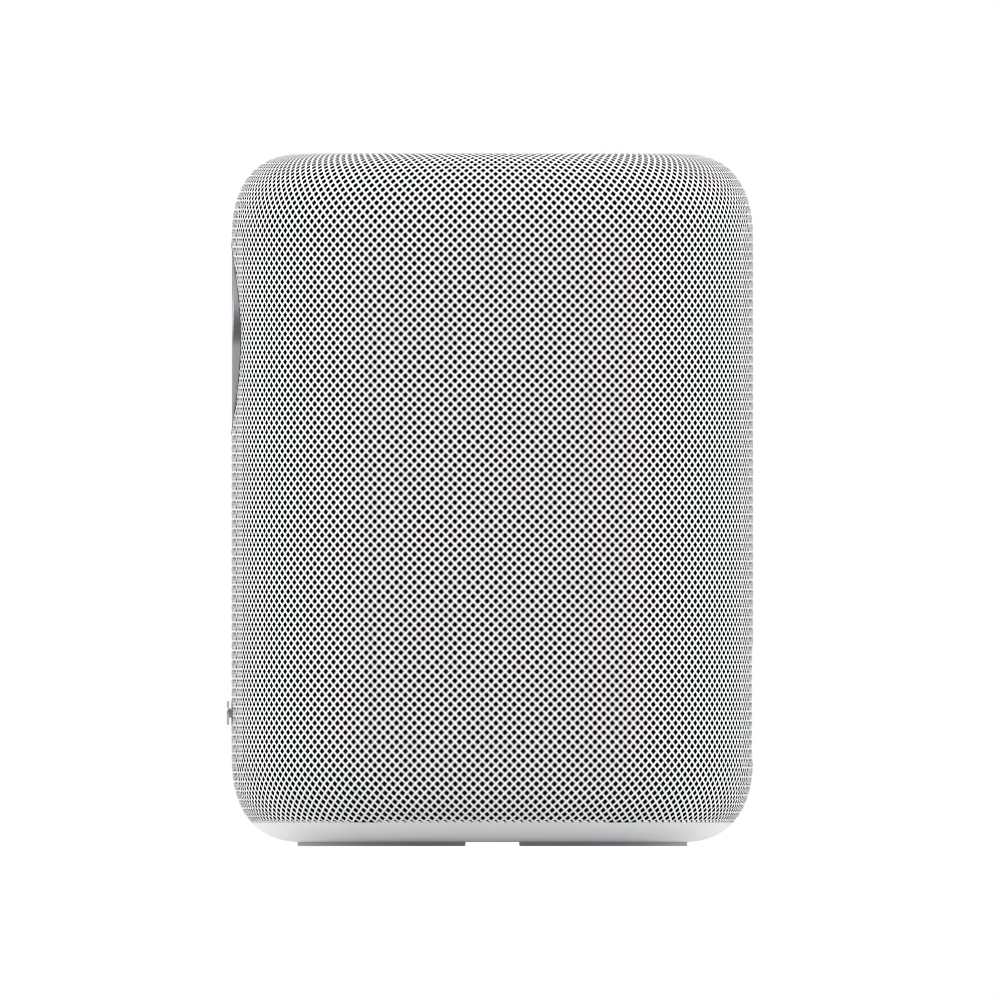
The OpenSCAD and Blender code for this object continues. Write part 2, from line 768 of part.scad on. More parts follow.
module base_chassis()
    color("#2d2f33")
        difference() {
            union() {
                outline_plate(62, base_plate_z, base_plate_z + 3, shell_sides);
                for (p = base_screw_places) translate([p[0], p[1], foot_h + 2.5])
                    cylinder(r = 4, h = cabinet_z0 - foot_h - 2.5);
            }
            for (p = base_screw_places) translate([p[0], p[1], 0]) cylinder(r = 1.3, h = 12, $fn = 24);
        }

module base_screws()
    color("#8d9095")
        for (p = base_screw_places) translate([p[0], p[1], foot_h + 1.4])
            rotate([180, 0, 0]) screw(1.25, 2.9, 1.2, 9, $fn = 24);

module upper_chassis()
    color("#2d2f33")
        difference() {
            union() {
                difference() {
                    outline_plate(inner_half - 0.1, plate_z, plate_z + plate_t, shell_sides);
                    block([-housing_r - 3, -80, plate_z - 1], [housing_r + 3, -wall_h, plate_z + 9]);
                }
                block([-34, -wall_h, plate_z], [34, wall_t - wall_h, wall_top]);
                for (side = [-1, 1]) at_tweeter(side)
                    block([tweeter_z - wall_top, -25, -wall_t], [tweeter_z - plate_z, 25, 0]);
                for (p = post_places) translate([p[0], p[1], plate_z])
                    cylinder(r = 3.2, h = touch_z - plate_z);
                for (x = [-32, 32], y = [-40, 36]) translate([x, y, plate_z])
                    cylinder(r = 3, h = main_z - plate_z);
            }
            for (side = [-1, 1]) at_tweeter(side) {
                translate([0, 0, -4]) cylinder(r = tweeter_cup_r + 0.2, h = 5);
                for (a = [0 : 90 : 270]) rotate([0, 0, a])
                    translate([tweeter_screw_r, 0, -4]) cylinder(r = 1.05, h = 5, $fn = 24);
            }
            facing_front(0, display_z) for (a = [45 : 90 : 315]) rotate([0, 0, a])
                translate([display_screw_r, 0, cut_from]) cylinder(r = 1, h = cut_reach, $fn = 24);
            block([-ribbon_half, -70, ribbon_z - 1], [ribbon_half, -50, ribbon_z + 2]);
            translate([cable_hole[0], cable_hole[1], plate_z - 1]) cylinder(r = cable_hole_r, h = 10);
        }

// ---- Electronics ----

module main_board()
    color("#17452f") block([-36, -44, main_z], [36, 40, main_top]);

module board_shields()
    color("#c0c3c6") {
        block([-16, -32, main_top], [6, -10, main_top + 3]);
        block([12, -30, main_top], [28, -12, main_top + 3]);
        block([-10, 14, main_top], [10, 28, main_top + 1.4]);
    }

module heat_sink()
    color("#a4a8ad")
        translate([0, 21, main_top + 1.4]) {
            fins = 9;
            pitch = 5.8;
            block([-25, -14, 0], [25, 14, 3]);
            for (i = [0 : fins - 1]) translate([(i - (fins - 1) / 2) * pitch - 0.7, -14, 2.5])
                cube([1.4, 28, 20]);
        }

module power_board()
    color("#8a6b3c") block([-38, power_y, 62], [38, power_y + board_t, 118]);

module power_transformer()
    color("#d2b04c")
        facing_rear(14, 90) {
            base = power_y + board_t;
            translate([-12, -10, base]) cube([24, 20, 2]);
            translate([-9, -7, base + 1]) cube([18, 14, 13]);
            translate([-12, -10, base + 13]) cube([24, 20, 2]);
        }

module power_capacitors()
    color("#1f3560")
        for (c = [[-16, 102, 6.5, 15], [-16, 84, 6.5, 15], [-30, 92, 5, 14], [-30, 78, 4, 12]])
            facing_rear(c[0], c[1]) translate([0, 0, power_y + board_t]) cylinder(r = c[2], h = c[3]);

module touch_board()
    color("#17452f") outline_plate(touch_half, touch_z, touch_z + board_t, shell_sides);

module microphones()
    color("#d9c27a")
        for (x = [-mic_place, mic_place], y = [-mic_place, mic_place])
            translate([x, y, touch_z + board_t]) difference() {
                translate([-2, -1.5, 0]) cube([4, 3, 1.2]);
                translate([0, 0, 0.6]) cylinder(r = 0.4, h = 1, $fn = 24);
            }

module antennas()
    color("#3d6b4a")
        for (side = [-1, 1]) block([side * 52 - 5, 40, plate_z + plate_t], [side * 52 + 5, 41, 166]);

module speaker_wires()
    color("#b5352c") {
        cup_back = tweeter_r - tweeter_cup_t;
        for (x = [-2.4, 2.4]) translate([x, 0, 0])
            wire([[-26.8, 110.5], [-20, 111.2], [-8, 112.5], [2, 113.6], [7.5, 116], [10, 120],
                [10.8, 125], [11, main_z - 0.1]], wire_r);
        for (side = [-1, 1]) rotate([0, 0, side > 0 ? -tweeter_turn - 90 : 90 + tweeter_turn])
            wire([[cup_back - 0.15, tweeter_z], [cup_back - 3.5, tweeter_z - 0.4],
                [cup_back - 7, tweeter_z - 3.5], [cup_back - 9, tweeter_z - 8],
                [cup_back - 9.6, main_top + 0.1]], wire_r);
    }

fabric_sleeve();
grille_frame();
base_cap();
front_foot_pad();
rear_foot_pad();
top_panel();
display_bezel();
bezel_trim_ring();
display_glass();
display_panel();
display_housing();
display_screws();
badge_plate();
badge_spacer();
rear_panel();
rear_trim();
mains_inlet();
inlet_pins();
line_in_socket();
rear_button();
mic_switch();
port_board();
woofer_frame();
woofer_surround();
woofer_cone();
woofer_dust_cap();
woofer_voice_coil();
woofer_spider();
woofer_top_plate();
woofer_magnet();
woofer_yoke();
woofer_gasket();
woofer_screws();
left_tweeter_faceplate();
right_tweeter_faceplate();
left_tweeter_dome();
right_tweeter_dome();
left_tweeter_cup();
right_tweeter_cup();
left_tweeter_magnet();
right_tweeter_magnet();
tweeter_screws();
cabinet_front();
cabinet_rear();
cabinet_seal();
cabinet_screws();
base_chassis();
base_screws();
upper_chassis();
main_board();
board_shields();
heat_sink();
power_board();
power_transformer();
power_capacitors();
touch_board();
microphones();
antennas();
display_ribbon();
speaker_wires();
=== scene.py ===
import math

import bpy
import numpy as np
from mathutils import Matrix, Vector


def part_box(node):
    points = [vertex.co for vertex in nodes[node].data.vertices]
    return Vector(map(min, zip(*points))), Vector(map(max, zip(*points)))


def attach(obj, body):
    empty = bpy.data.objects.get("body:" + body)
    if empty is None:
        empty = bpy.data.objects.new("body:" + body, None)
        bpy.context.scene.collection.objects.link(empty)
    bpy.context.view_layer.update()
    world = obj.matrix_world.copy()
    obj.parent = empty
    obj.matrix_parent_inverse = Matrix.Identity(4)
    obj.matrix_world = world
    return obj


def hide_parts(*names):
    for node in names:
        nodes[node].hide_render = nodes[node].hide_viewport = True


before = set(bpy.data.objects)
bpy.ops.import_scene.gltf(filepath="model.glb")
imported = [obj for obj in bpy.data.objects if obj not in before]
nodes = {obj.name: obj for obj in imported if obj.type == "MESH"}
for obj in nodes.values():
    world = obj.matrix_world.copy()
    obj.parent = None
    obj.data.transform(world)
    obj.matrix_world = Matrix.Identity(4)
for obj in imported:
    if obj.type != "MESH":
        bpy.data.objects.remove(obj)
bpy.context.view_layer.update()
MM = 0.001

# ----------------------------------------------------------------------
# The body's shape, in metres, as the CAD has it
sleeve_low, sleeve_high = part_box("fabric_sleeve")
HALF = sleeve_high.x
TOP_Z = sleeve_high.z
SEAM_Z = sleeve_low.z
FOOT_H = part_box("front_foot_pad")[1].z
PLAN_POWER = 2.45          # of the superellipse that is the plan's outline
CORNER_W, CORNER_H, CORNER_POWER = 21 * MM, 25.2 * MM, 2.5      # the upper and lower corners' profile
FLAT_HALF = HALF - CORNER_W
LOW_CORNER_Z = FOOT_H + CORNER_H
HIGH_CORNER_Z = TOP_Z - CORNER_H
PANEL_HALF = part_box("top_panel")[1].x
PANEL_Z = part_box("top_panel")[1].z
HOLE_HALF = PANEL_HALF + 0.45 * MM

bezel_low, bezel_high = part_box("display_bezel")
DISPLAY_Z = (bezel_low.z + bezel_high.z) / 2
BEZEL_R = bezel_high.x
BEZEL_Y = bezel_low.y
GLASS_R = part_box("display_glass")[1].x
GLASS_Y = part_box("display_glass")[0].y
badge_low, badge_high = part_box("badge_plate")
bay_low, bay_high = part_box("rear_trim")
BAY_Z = (bay_low.z + bay_high.z) / 2
BAY_X, BAY_H = bay_high.x, (bay_high.z - bay_low.z) / 2
BAY_CORNER = 4 * MM


def plan_radius(angle):
    return (np.abs(np.cos(angle)) ** PLAN_POWER + np.abs(np.sin(angle)) ** PLAN_POWER) ** (-1 / PLAN_POWER)


def outline_table(count=20001):
    """Share of the way round, point and outward normal of the outline of half width 1."""
    angle = np.linspace(0, 2 * math.pi, count)
    radius = plan_radius(angle)
    point = np.stack([radius * np.cos(angle), radius * np.sin(angle)], 1)
    length = np.concatenate([[0], np.cumsum(np.linalg.norm(np.diff(point, axis=0), axis=1))])
    normal = np.sign(point) * np.abs(point) ** (PLAN_POWER - 1)
    normal /= np.linalg.norm(normal, axis=1)[:, None]
    return length / length[-1], point, normal, length[-1]


def profile_table():
    """Distance up the profile from the seam, half width, height, and the unit tangent."""
    power = 2 / CORNER_POWER
    t = np.linspace(math.pi / 2, 0, 4001)
    low_z = LOW_CORNER_Z - CORNER_H * np.sin(t) ** power
    low_half = FLAT_HALF + CORNER_W * np.clip(np.cos(t), 0, 1) ** power
    t = np.linspace(0, math.pi / 2, 4001)
    high_z = HIGH_CORNER_Z + CORNER_H * np.sin(t) ** power
    high_half = FLAT_HALF + CORNER_W * np.clip(np.cos(t), 0, 1) ** power
    keep = low_z > SEAM_Z - 2 * MM
    wall = np.linspace(LOW_CORNER_Z, HIGH_CORNER_Z, 401)[1:-1]
    flat = np.linspace(FLAT_HALF, PANEL_HALF - 2 * MM, 201)[1:]
    half = np.concatenate([low_half[keep], np.full(len(wall), HALF), high_half, flat])
    z = np.concatenate([low_z[keep], wall, high_z, np.full(len(flat), TOP_Z)])
    v = np.concatenate([[0], np.cumsum(np.hypot(np.diff(half), np.diff(z)))])
    v -= np.interp(SEAM_Z, low_z[keep], v[: keep.sum()])
    tangent = np.stack([np.gradient(half, v), np.gradient(z, v)], 1)
    tangent /= np.linalg.norm(tangent, axis=1)[:, None]
    return v, half, z, tangent


ROUND_U, ROUND_P, ROUND_N, ROUND_LENGTH = outline_table()
UP_V, UP_HALF, UP_Z, UP_T = profile_table()
V_TOP = float(np.interp(-HOLE_HALF, -UP_HALF[-300:], UP_V[-300:]))
PERIMETER = ROUND_LENGTH * HALF


def shell(u, v):
    """Points of the body's outside and their normals, at shares u of the way round and distances v up."""
    u = np.mod(u, 1.0)
    px, py = np.interp(u, ROUND_U, ROUND_P[:, 0]), np.interp(u, ROUND_U, ROUND_P[:, 1])
    nx, ny = np.interp(u, ROUND_U, ROUND_N[:, 0]), np.interp(u, ROUND_U, ROUND_N[:, 1])
    half, z = np.interp(v, UP_V, UP_HALF), np.interp(v, UP_V, UP_Z)
    th, tz = np.interp(v, UP_V, UP_T[:, 0]), np.interp(v, UP_V, UP_T[:, 1])
    point = np.stack([half * px, half * py, z], -1)
    normal = np.stack([nx * tz, ny * tz, -th * (px * nx + py * ny)], -1)
    return point, normal / np.linalg.norm(normal, axis=-1)[..., None]


def wall_y(x):
    """How far out the wall is, in front or behind, at x."""
    return HALF * (1 - np.abs(np.asarray(x) / HALF) ** PLAN_POWER) ** (1 / PLAN_POWER)


# ----------------------------------------------------------------------
# Materials
def new_material(name):
    material = bpy.data.materials.new(name)
    material.use_nodes = True
    tree = material.node_tree
    return material, tree, tree.nodes["Principled BSDF"]


def add(tree, kind, **values):
    """A node with its inputs and its settings given by name."""
    node = tree.nodes.new(kind)
    for key, value in values.items():
        if key in node.inputs:
            node.inputs[key].default_value = value
        else:
            setattr(node, key, value)
    return node


def ramp(tree, value, low, high, low_at=0.3, high_at=0.7):
    """A colour between low and high."""
    node = add(tree, "ShaderNodeValToRGB")
    node.color_ramp.elements[0].position = low_at
    node.color_ramp.elements[0].color = (*low, 1)
    node.color_ramp.elements[1].position = high_at
    node.color_ramp.elements[1].color = (*high, 1)
    tree.links.new(value, node.inputs[0])
    return node.outputs[0]


def spread(tree, value, low, high):
    """A value from 0 to 1 taken to low and high."""
    node = add(tree, "ShaderNodeMapRange")
    node.inputs["To Min"].default_value = low
    node.inputs["To Max"].default_value = high
    tree.links.new(value, node.inputs["Value"])
    return node.outputs[0]


def place(tree, scale=(1, 1, 1), offset=(0, 0, 0)):
    """Object coordinates, which are the row frame's, stretched by scale."""
    where = add(tree, "ShaderNodeTexCoord")
    mapping = add(tree, "ShaderNodeMapping", Location=offset, Scale=scale)
    tree.links.new(where.outputs["Object"], mapping.inputs["Vector"])
    return mapping.outputs[0]


def noise(tree, vector, scale, detail=2.0, roughness=0.5):
    node = add(tree, "ShaderNodeTexNoise", Scale=scale, Detail=detail, Roughness=roughness)
    tree.links.new(vector, node.inputs["Vector"])
    return node.outputs[0]


def bump(tree, shader, height, strength, depth):
    node = add(tree, "ShaderNodeBump", Strength=strength, Distance=depth)
    tree.links.new(height, node.inputs["Height"])
    tree.links.new(node.outputs[0], shader.inputs["Normal"])


def surface(name, colour, rough, metal=0.0, tone=0.08, grain=900.0, depth=0.02, stretch=(1, 1, 1),
            blotch=60.0, specular=0.5, rough_spread=0.08, strength=0.5, **sockets):
    """A moulded, cast, brushed or coated surface: slow tone changes, fine grain, uneven gloss.
    depth is the grain's, in millimetres, and stretch draws it out for brushing."""
    material, tree, shader = new_material(name)
    here = place(tree)
    slow = noise(tree, here, blotch, 3.0)
    dark = tuple(max(0.0, c * (1 - tone)) for c in colour)
    light = tuple(min(1.0, c * (1 + tone)) for c in colour)
    tree.links.new(ramp(tree, slow, dark, light), shader.inputs["Base Color"])
    fine = noise(tree, place(tree, stretch), grain, 3.0, 0.6)
    tree.links.new(spread(tree, fine, rough - rough_spread, rough + rough_spread), shader.inputs["Roughness"])
    bump(tree, shader, fine, strength, depth * MM)
    shader.inputs["Metallic"].default_value = metal
    shader.inputs["Specular IOR Level"].default_value = specular
    for key, value in sockets.items():
        shader.inputs[key.replace("_", " ")].default_value = value
    return material


def yarn_material(name, has_painted_shade):
    """White polymer yarn: matt, faintly fibrous, slightly uneven, and greyer where its tone attribute paints
    shade and shadow.
    """
    material, tree, shader = new_material(name)
    here = place(tree)
    slow = noise(tree, here, 240.0, 2.0)
    colour = ramp(tree, slow, (0.87, 0.87, 0.87), (0.92, 0.92, 0.915))
    if has_painted_shade:
        # the tone attribute is painted shade: it darkens each strand's inner side and where it dips under
        # another
        tone = add(tree, "ShaderNodeAttribute", attribute_name="tone")
        mix = add(tree, "ShaderNodeMix", data_type="RGBA", blend_type="MULTIPLY")
        mix.inputs["Factor"].default_value = 1.0
        tree.links.new(colour, mix.inputs[6])
        tree.links.new(tone.outputs["Fac"], mix.inputs[7])
        colour = mix.outputs[2]
    tree.links.new(colour, shader.inputs["Base Color"])
    fibre = noise(tree, here, 9000.0, 3.0, 0.6)
    tree.links.new(spread(tree, fibre, 0.55, 0.85), shader.inputs["Roughness"])
    bump(tree, shader, fibre, 0.25, 0.02 * MM)
    shader.inputs["Specular IOR Level"].default_value = 0.25
    shader.inputs["Sheen Weight"].default_value = 0.15
    return material


def scrim_material():
    """Black acoustic cloth, so fine that its weave is only bump."""
    material, tree, shader = new_material("black_scrim")
    here = place(tree)
    threads = noise(tree, here, 5000.0, 2.0)
    tree.links.new(ramp(tree, threads, (0.0004, 0.0004, 0.0004), (0.0012, 0.0012, 0.0012)),
                   shader.inputs["Base Color"])
    tree.links.new(spread(tree, threads, 0.9, 1.0), shader.inputs["Roughness"])
    bump(tree, shader, threads, 0.3, 0.02 * MM)
    shader.inputs["Specular IOR Level"].default_value = 0.02
    return material


def turned_material(name, colour, rough, centre_z, groove=9000.0, depth=0.006):
    """Metal turned about the display's axis: rings of fine grooves round it."""
    material, tree, shader = new_material(name)
    here = place(tree, (1, 0, 1), (0, 0, -centre_z))
    radius = add(tree, "ShaderNodeVectorMath", operation="LENGTH")
    tree.links.new(here, radius.inputs[0])
    rings = add(tree, "ShaderNodeTexNoise", noise_dimensions="1D", Scale=groove, Detail=2.0)
    tree.links.new(radius.outputs["Value"], rings.inputs["W"])
    slow = noise(tree, place(tree), 50.0, 2.0)
    dark, light = tuple(c * 0.96 for c in colour), tuple(min(1, c * 1.04) for c in colour)
    tree.links.new(ramp(tree, slow, dark, light), shader.inputs["Base Color"])
    tree.links.new(spread(tree, rings.outputs[0], rough - 0.05, rough + 0.05), shader.inputs["Roughness"])
    bump(tree, shader, rings.outputs[0], 0.3, depth * MM)
    shader.inputs["Metallic"].default_value = 1.0
    return material


def glass_material():
    """Clear cover glass with a slight tint and the faintest smears."""
    material, tree, shader = new_material("cover_glass")
    smear = noise(tree, place(tree), 90.0, 4.0, 0.6)
    tree.links.new(spread(tree, smear, 0.0, 0.02), shader.inputs["Roughness"])
    tree.links.new(ramp(tree, smear, (0.70, 0.71, 0.72), (0.76, 0.77, 0.78)), shader.inputs["Base Color"])
    shader.inputs["Transmission Weight"].default_value = 1.0
    shader.inputs["IOR"].default_value = 1.5
    return material


def glow_material(name, colour, power):
    """Lit cells of a screen."""
    material, tree, shader = new_material(name)
    cells = noise(tree, place(tree), 4000.0, 1.0)
    tint = ramp(tree, cells, tuple(c * 0.9 for c in colour), colour)
    tree.links.new(tint, shader.inputs["Base Color"])
    tree.links.new(tint, shader.inputs["Emission Color"])
    shader.inputs["Emission Strength"].default_value = power
    shader.inputs["Roughness"].default_value = 0.5
    return material


YARN = yarn_material("white_yarn", True)
HEM = yarn_material("white_hem", False)
SCRIM = scrim_material()
BASE_PLASTIC = surface("base_plastic", (0.80, 0.81, 0.825), 0.32, tone=0.02, grain=2600, depth=0.006,
                       rough_spread=0.05, specular=0.45)
PANEL_PLASTIC = surface("panel_plastic", (0.60, 0.61, 0.62), 0.38, tone=0.015, grain=3000, depth=0.005)
BAY_PLASTIC = surface("bay_plastic", (0.70, 0.71, 0.72), 0.42, tone=0.02, grain=2400, depth=0.010)
RUBBER_GREY = surface("foot_rubber", (0.39, 0.393, 0.40), 0.55, tone=0.06, grain=2200, depth=0.02,
                      specular=0.35)
RING_METAL = turned_material("ring_metal", (0.36, 0.365, 0.38), 0.24, DISPLAY_Z)
SEAL_RUBBER = surface("seal_rubber", (0.05, 0.05, 0.053), 0.6, tone=0.1, grain=2600, depth=0.015,
                      specular=0.3)
GLASS = glass_material()
SCREEN = surface("display_matrix", (0.006, 0.007, 0.009), 0.16, tone=0.2, grain=5000, depth=0.0004,
                 rough_spread=0.02, strength=0.1)
MARKS = glow_material("screen_marks", (0.85, 0.88, 0.92), 0.9)
BADGE_METAL = surface("badge_metal", (0.46, 0.465, 0.475), 0.30, metal=1.0, tone=0.03, grain=3600,
                      depth=0.008, stretch=(0.04, 1, 1))
SOCKET_BLACK = surface("connector_plastic", (0.018, 0.018, 0.019), 0.42, tone=0.15, grain=2600, depth=0.012)
CONTACT = surface("contact_metal", (0.78, 0.77, 0.74), 0.18, metal=1.0, tone=0.03, grain=5000, depth=0.003)
TINNED = surface("shield_steel", (0.60, 0.61, 0.62), 0.34, metal=1.0, tone=0.05, grain=2400, depth=0.008,
                 stretch=(1, 1, 0.08))
SPACER = surface("spacer_nylon", (0.95, 0.95, 0.945), 0.45, tone=0.01, grain=2600, depth=0.006)
KEY = surface("key_plastic", (0.50, 0.51, 0.52), 0.40, tone=0.03, grain=2600, depth=0.010)
ICON = surface("icon_print", (0.30, 0.31, 0.32), 0.55, tone=0.05, grain=4000, depth=0.004)
BLACK_FRAME = surface("black_frame", (0.004, 0.004, 0.0042), 0.8, tone=0.2, grain=1800, depth=0.03,
                      specular=0.1)
DARK = surface("dark_plastic", (0.03, 0.031, 0.033), 0.5, tone=0.12, grain=2000, depth=0.02)
BOARD = surface("circuit_board", (0.012, 0.085, 0.045), 0.36, tone=0.25, grain=700, depth=0.02, blotch=420)
LAMINATE = surface("power_laminate", (0.33, 0.21, 0.09), 0.5, tone=0.15, grain=1500, depth=0.02, blotch=200)
BASKET = surface("basket_paint", (0.022, 0.022, 0.024), 0.45, tone=0.15, grain=1500, depth=0.04)
SURROUND = surface("surround_rubber", (0.018, 0.018, 0.018), 0.48, tone=0.1, grain=2000, depth=0.02)
PULP = surface("cone_pulp", (0.028, 0.027, 0.026), 0.75, tone=0.25, grain=900, depth=0.08, blotch=260,
               Sheen_Weight=0.2)
SILK = surface("dome_silk", (0.03, 0.03, 0.032), 0.6, tone=0.15, grain=3600, depth=0.03, Sheen_Weight=0.3)
SPIDER = surface("spider_cloth", (0.60, 0.44, 0.22), 0.7, tone=0.15, grain=2600, depth=0.05, Sheen_Weight=0.2)
COPPER = surface("copper_winding", (0.72, 0.36, 0.20), 0.3, metal=1.0, tone=0.08, grain=1200, depth=0.03,
                 stretch=(0.05, 1, 0.05))
FERRITE = surface("ferrite", (0.045, 0.045, 0.047), 0.6, tone=0.2, grain=1400, depth=0.05)
ZINC = surface("zinc_steel", (0.50, 0.51, 0.53), 0.35, metal=1.0, tone=0.08, grain=1500, depth=0.015,
               blotch=300)
NICKEL = surface("neodymium", (0.62, 0.62, 0.61), 0.2, metal=1.0, tone=0.04, grain=3000, depth=0.004)
FOAM = surface("foam", (0.045, 0.045, 0.045), 0.9, tone=0.3, grain=1600, depth=0.15, specular=0.2)
FINS = surface("fin_aluminium", (0.62, 0.63, 0.64), 0.34, metal=1.0, tone=0.05, grain=2600, depth=0.01,
               stretch=(1, 0.05, 1))
TAPE = surface("transformer_tape", (0.66, 0.48, 0.10), 0.4, tone=0.1, grain=1200, depth=0.02)
CAN = surface("capacitor_sleeve", (0.02, 0.045, 0.13), 0.28, tone=0.12, grain=1400, depth=0.01)
FILM = surface("flex_film", (0.42, 0.19, 0.045), 0.3, tone=0.12, grain=1800, depth=0.01)
WIRE = surface("wire_insulation", (0.45, 0.035, 0.03), 0.35, tone=0.08, grain=1800, depth=0.01)

BY_NODE = {
    "fabric_sleeve": HEM, "grille_frame": BLACK_FRAME, "base_cap": BASE_PLASTIC,
    "front_foot_pad": RUBBER_GREY, "rear_foot_pad": RUBBER_GREY, "top_panel": PANEL_PLASTIC,
    "display_bezel": RING_METAL, "bezel_trim_ring": SEAL_RUBBER, "display_glass": GLASS,
    "display_panel": SCREEN, "display_housing": DARK, "display_screws": ZINC,
    "badge_plate": BADGE_METAL, "badge_spacer": SPACER, "rear_panel": BAY_PLASTIC,
    "rear_trim": BAY_PLASTIC, "mains_inlet": SOCKET_BLACK, "inlet_pins": CONTACT,
    "line_in_socket": SOCKET_BLACK, "rear_button": KEY, "mic_switch": KEY, "port_board": BOARD,
    "woofer_frame": BASKET, "woofer_surround": SURROUND, "woofer_cone": PULP, "woofer_dust_cap": PULP,
    "woofer_voice_coil": COPPER, "woofer_spider": SPIDER, "woofer_top_plate": ZINC,
    "woofer_magnet": FERRITE, "woofer_yoke": ZINC, "woofer_gasket": FOAM, "woofer_screws": ZINC,
    "left_tweeter_faceplate": DARK, "right_tweeter_faceplate": DARK, "left_tweeter_dome": SILK,
    "right_tweeter_dome": SILK, "left_tweeter_cup": ZINC, "right_tweeter_cup": ZINC,
    "left_tweeter_magnet": NICKEL, "right_tweeter_magnet": NICKEL, "tweeter_screws": ZINC,
    "cabinet_front": DARK, "cabinet_rear": DARK, "cabinet_seal": FOAM, "cabinet_screws": ZINC,
    "base_chassis": DARK, "base_screws": ZINC, "upper_chassis": DARK, "main_board": BOARD,
    "board_shields": TINNED, "heat_sink": FINS, "power_board": LAMINATE, "power_transformer": TAPE,
    "power_capacitors": CAN, "touch_board": BOARD, "microphones": CONTACT, "antennas": BOARD,
    "display_ribbon": FILM, "speaker_wires": WIRE,
}
for name, material in BY_NODE.items():
    slots = nodes[name].material_slots
    if not slots:
        nodes[name].data.materials.append(material)
    for slot in slots:
        slot.material = material


# ----------------------------------------------------------------------
# Mesh helpers
def piece(name, verts, faces, material, body="chassis", replaces=(), smooth=True, sharp=35):
    """A mesh object that rides on a CAD body. Edges sharper than sharp degrees stay crisp."""
    mesh = bpy.data.meshes.new(name)
    points = [tuple(float(c) for c in v) for v in verts]
    mesh.from_pydata(points, [], [tuple(int(i) for i in f) for f in faces])
    mesh.materials.append(material)
    mesh.validate()
    if smooth:
        mesh.shade_smooth()
        mesh.set_sharp_from_angle(angle=math.radians(sharp))
    return settle(mesh, name, body, replaces)


def settle(mesh, name, body="chassis", replaces=()):
    """The object of a mesh, with its body and the CAD nodes it stands for."""
    obj = bpy.data.objects.new(name, mesh)
    bpy.context.scene.collection.objects.link(obj)
    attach(obj, body)
    if replaces:
        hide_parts(*replaces)
    return obj


def join(parts):
    """Several (verts, faces) as one."""
    verts, faces = [], []
    for v, f in parts:
        faces += [tuple(i + len(verts) for i in face) for face in f]
        verts += list(v)
    return verts, faces


def skin(rings, closed=False, caps=True):
    """Faces over a list of rings with the same number of points."""
    count = len(rings[0])
    verts = [p for ring in rings for p in ring]
    faces = []
    for k in range(len(rings) if closed else len(rings) - 1):
        a, b = k * count, ((k + 1) % len(rings)) * count
        faces += [(a + i, a + (i + 1) % count, b + (i + 1) % count, b + i) for i in range(count)]
    if caps and not closed:
        faces += [tuple(range(count))[::-1], tuple(range((len(rings) - 1) * count, len(rings) * count))]
    return verts, faces


def outline_ring(half, z, sides):
    """The plan's outline with its sides half away from the middle, at height z."""
    u = np.arange(sides) / sides
    x, y = np.interp(u, ROUND_U, ROUND_P[:, 0]) * half, np.interp(u, ROUND_U, ROUND_P[:, 1]) * half
    return [(x[i], y[i], z) for i in range(sides)]


def round_rect(half_x, half_y, r, steps=8):
    """Points of a rectangle with round corners, anticlockwise."""
    points = []
    for cx, cy, start in ((1, 1, 0), (-1, 1, 90), (-1, -1, 180), (1, -1, 270)):
        for k in range(steps + 1):
            a = math.radians(start + 90 * k / steps)
            points.append((cx * (half_x - r) + r * math.cos(a), cy * (half_y - r) + r * math.sin(a)))
    return points


def turned(profile, centre, axis, sides=128, closed=False):
    """Rings of (radius, distance along axis) about a line through centre."""
    axis = Vector(axis).normalized()
    side = axis.orthogonal().normalized()
    other = axis.cross(side)
    rings = []
    for r, h in profile:
        rings.append([Vector(centre) + axis * h + (side * math.cos(a) + other * math.sin(a)) * r
                      for a in (2 * math.pi * i / sides for i in range(sides))])
    return skin(rings, closed, caps=not closed)


def box_mesh(low, high, bevel):
    """A block with its upper and lower edges cut, built from four rectangles."""
    (x0, y0, z0), (x1, y1, z1) = low, high
    rings = []
    for z, inset in ((z0, bevel), (z0 + bevel, 0), (z1 - bevel, 0), (z1, bevel)):
        rings.append([(x0 + inset, y0 + inset, z), (x1 - inset, y0 + inset, z),
                      (x1 - inset, y1 - inset, z), (x0 + inset, y1 - inset, z)])
    return skin(rings)


def drill(obj, cutters, sharp):
    """Cuts shapes, each given as (verts, faces), out of an object."""
    verts, faces = join(cutters)
    mesh = bpy.data.meshes.new("cutter")
    mesh.from_pydata([tuple(v) for v in verts], [], faces)
    cutter = bpy.data.objects.new("cutter", mesh)
    bpy.context.scene.collection.objects.link(cutter)
    modifier = obj.modifiers.new("holes", "BOOLEAN")
    modifier.object = cutter
    modifier.operation = "DIFFERENCE"
    modifier.solver = "EXACT"
    bpy.context.view_layer.update()
    cut = bpy.data.meshes.new_from_object(obj.evaluated_get(bpy.context.evaluated_depsgraph_get()))
    obj.modifiers.clear()
    obj.data = cut
    cut.shade_smooth()
    cut.set_sharp_from_angle(angle=math.radians(sharp))
    bpy.data.objects.remove(cutter)


# ----------------------------------------------------------------------
# Camera, light and floor
PHOTO_WIDTH = 0.2797                                # what the photo's frame spans
PHOTO_CENTRE = (0.00213, 0.09678)                   # what is in its middle, as y and z
DIM_AHEAD, LIT_ABOVE = 0.28, 1.08                   # the studio's levels; it is 1 round the sides
LAMP_PLACE, LAMP_AIM = (0.75, 1.0, 0.70), (0, 0, 0.1)
LAMP_SIZE, LAMP_POWER = (1.0, 0.8), 7.7
FLOOR_R, FLOOR_SIDES = 3, 64


def ease(tree, value, low, high, at_low, at_high):
    """A smooth step from one level to another as value goes from low to high."""
    node = add(tree, "ShaderNodeMapRange", interpolation_type="SMOOTHSTEP")
    for key, number in (("From Min", low), ("From Max", high), ("To Min", at_low), ("To Max", at_high)):
        node.inputs[key].default_value = number
    tree.links.new(value, node.inputs["Value"])
    return node.outputs[0]


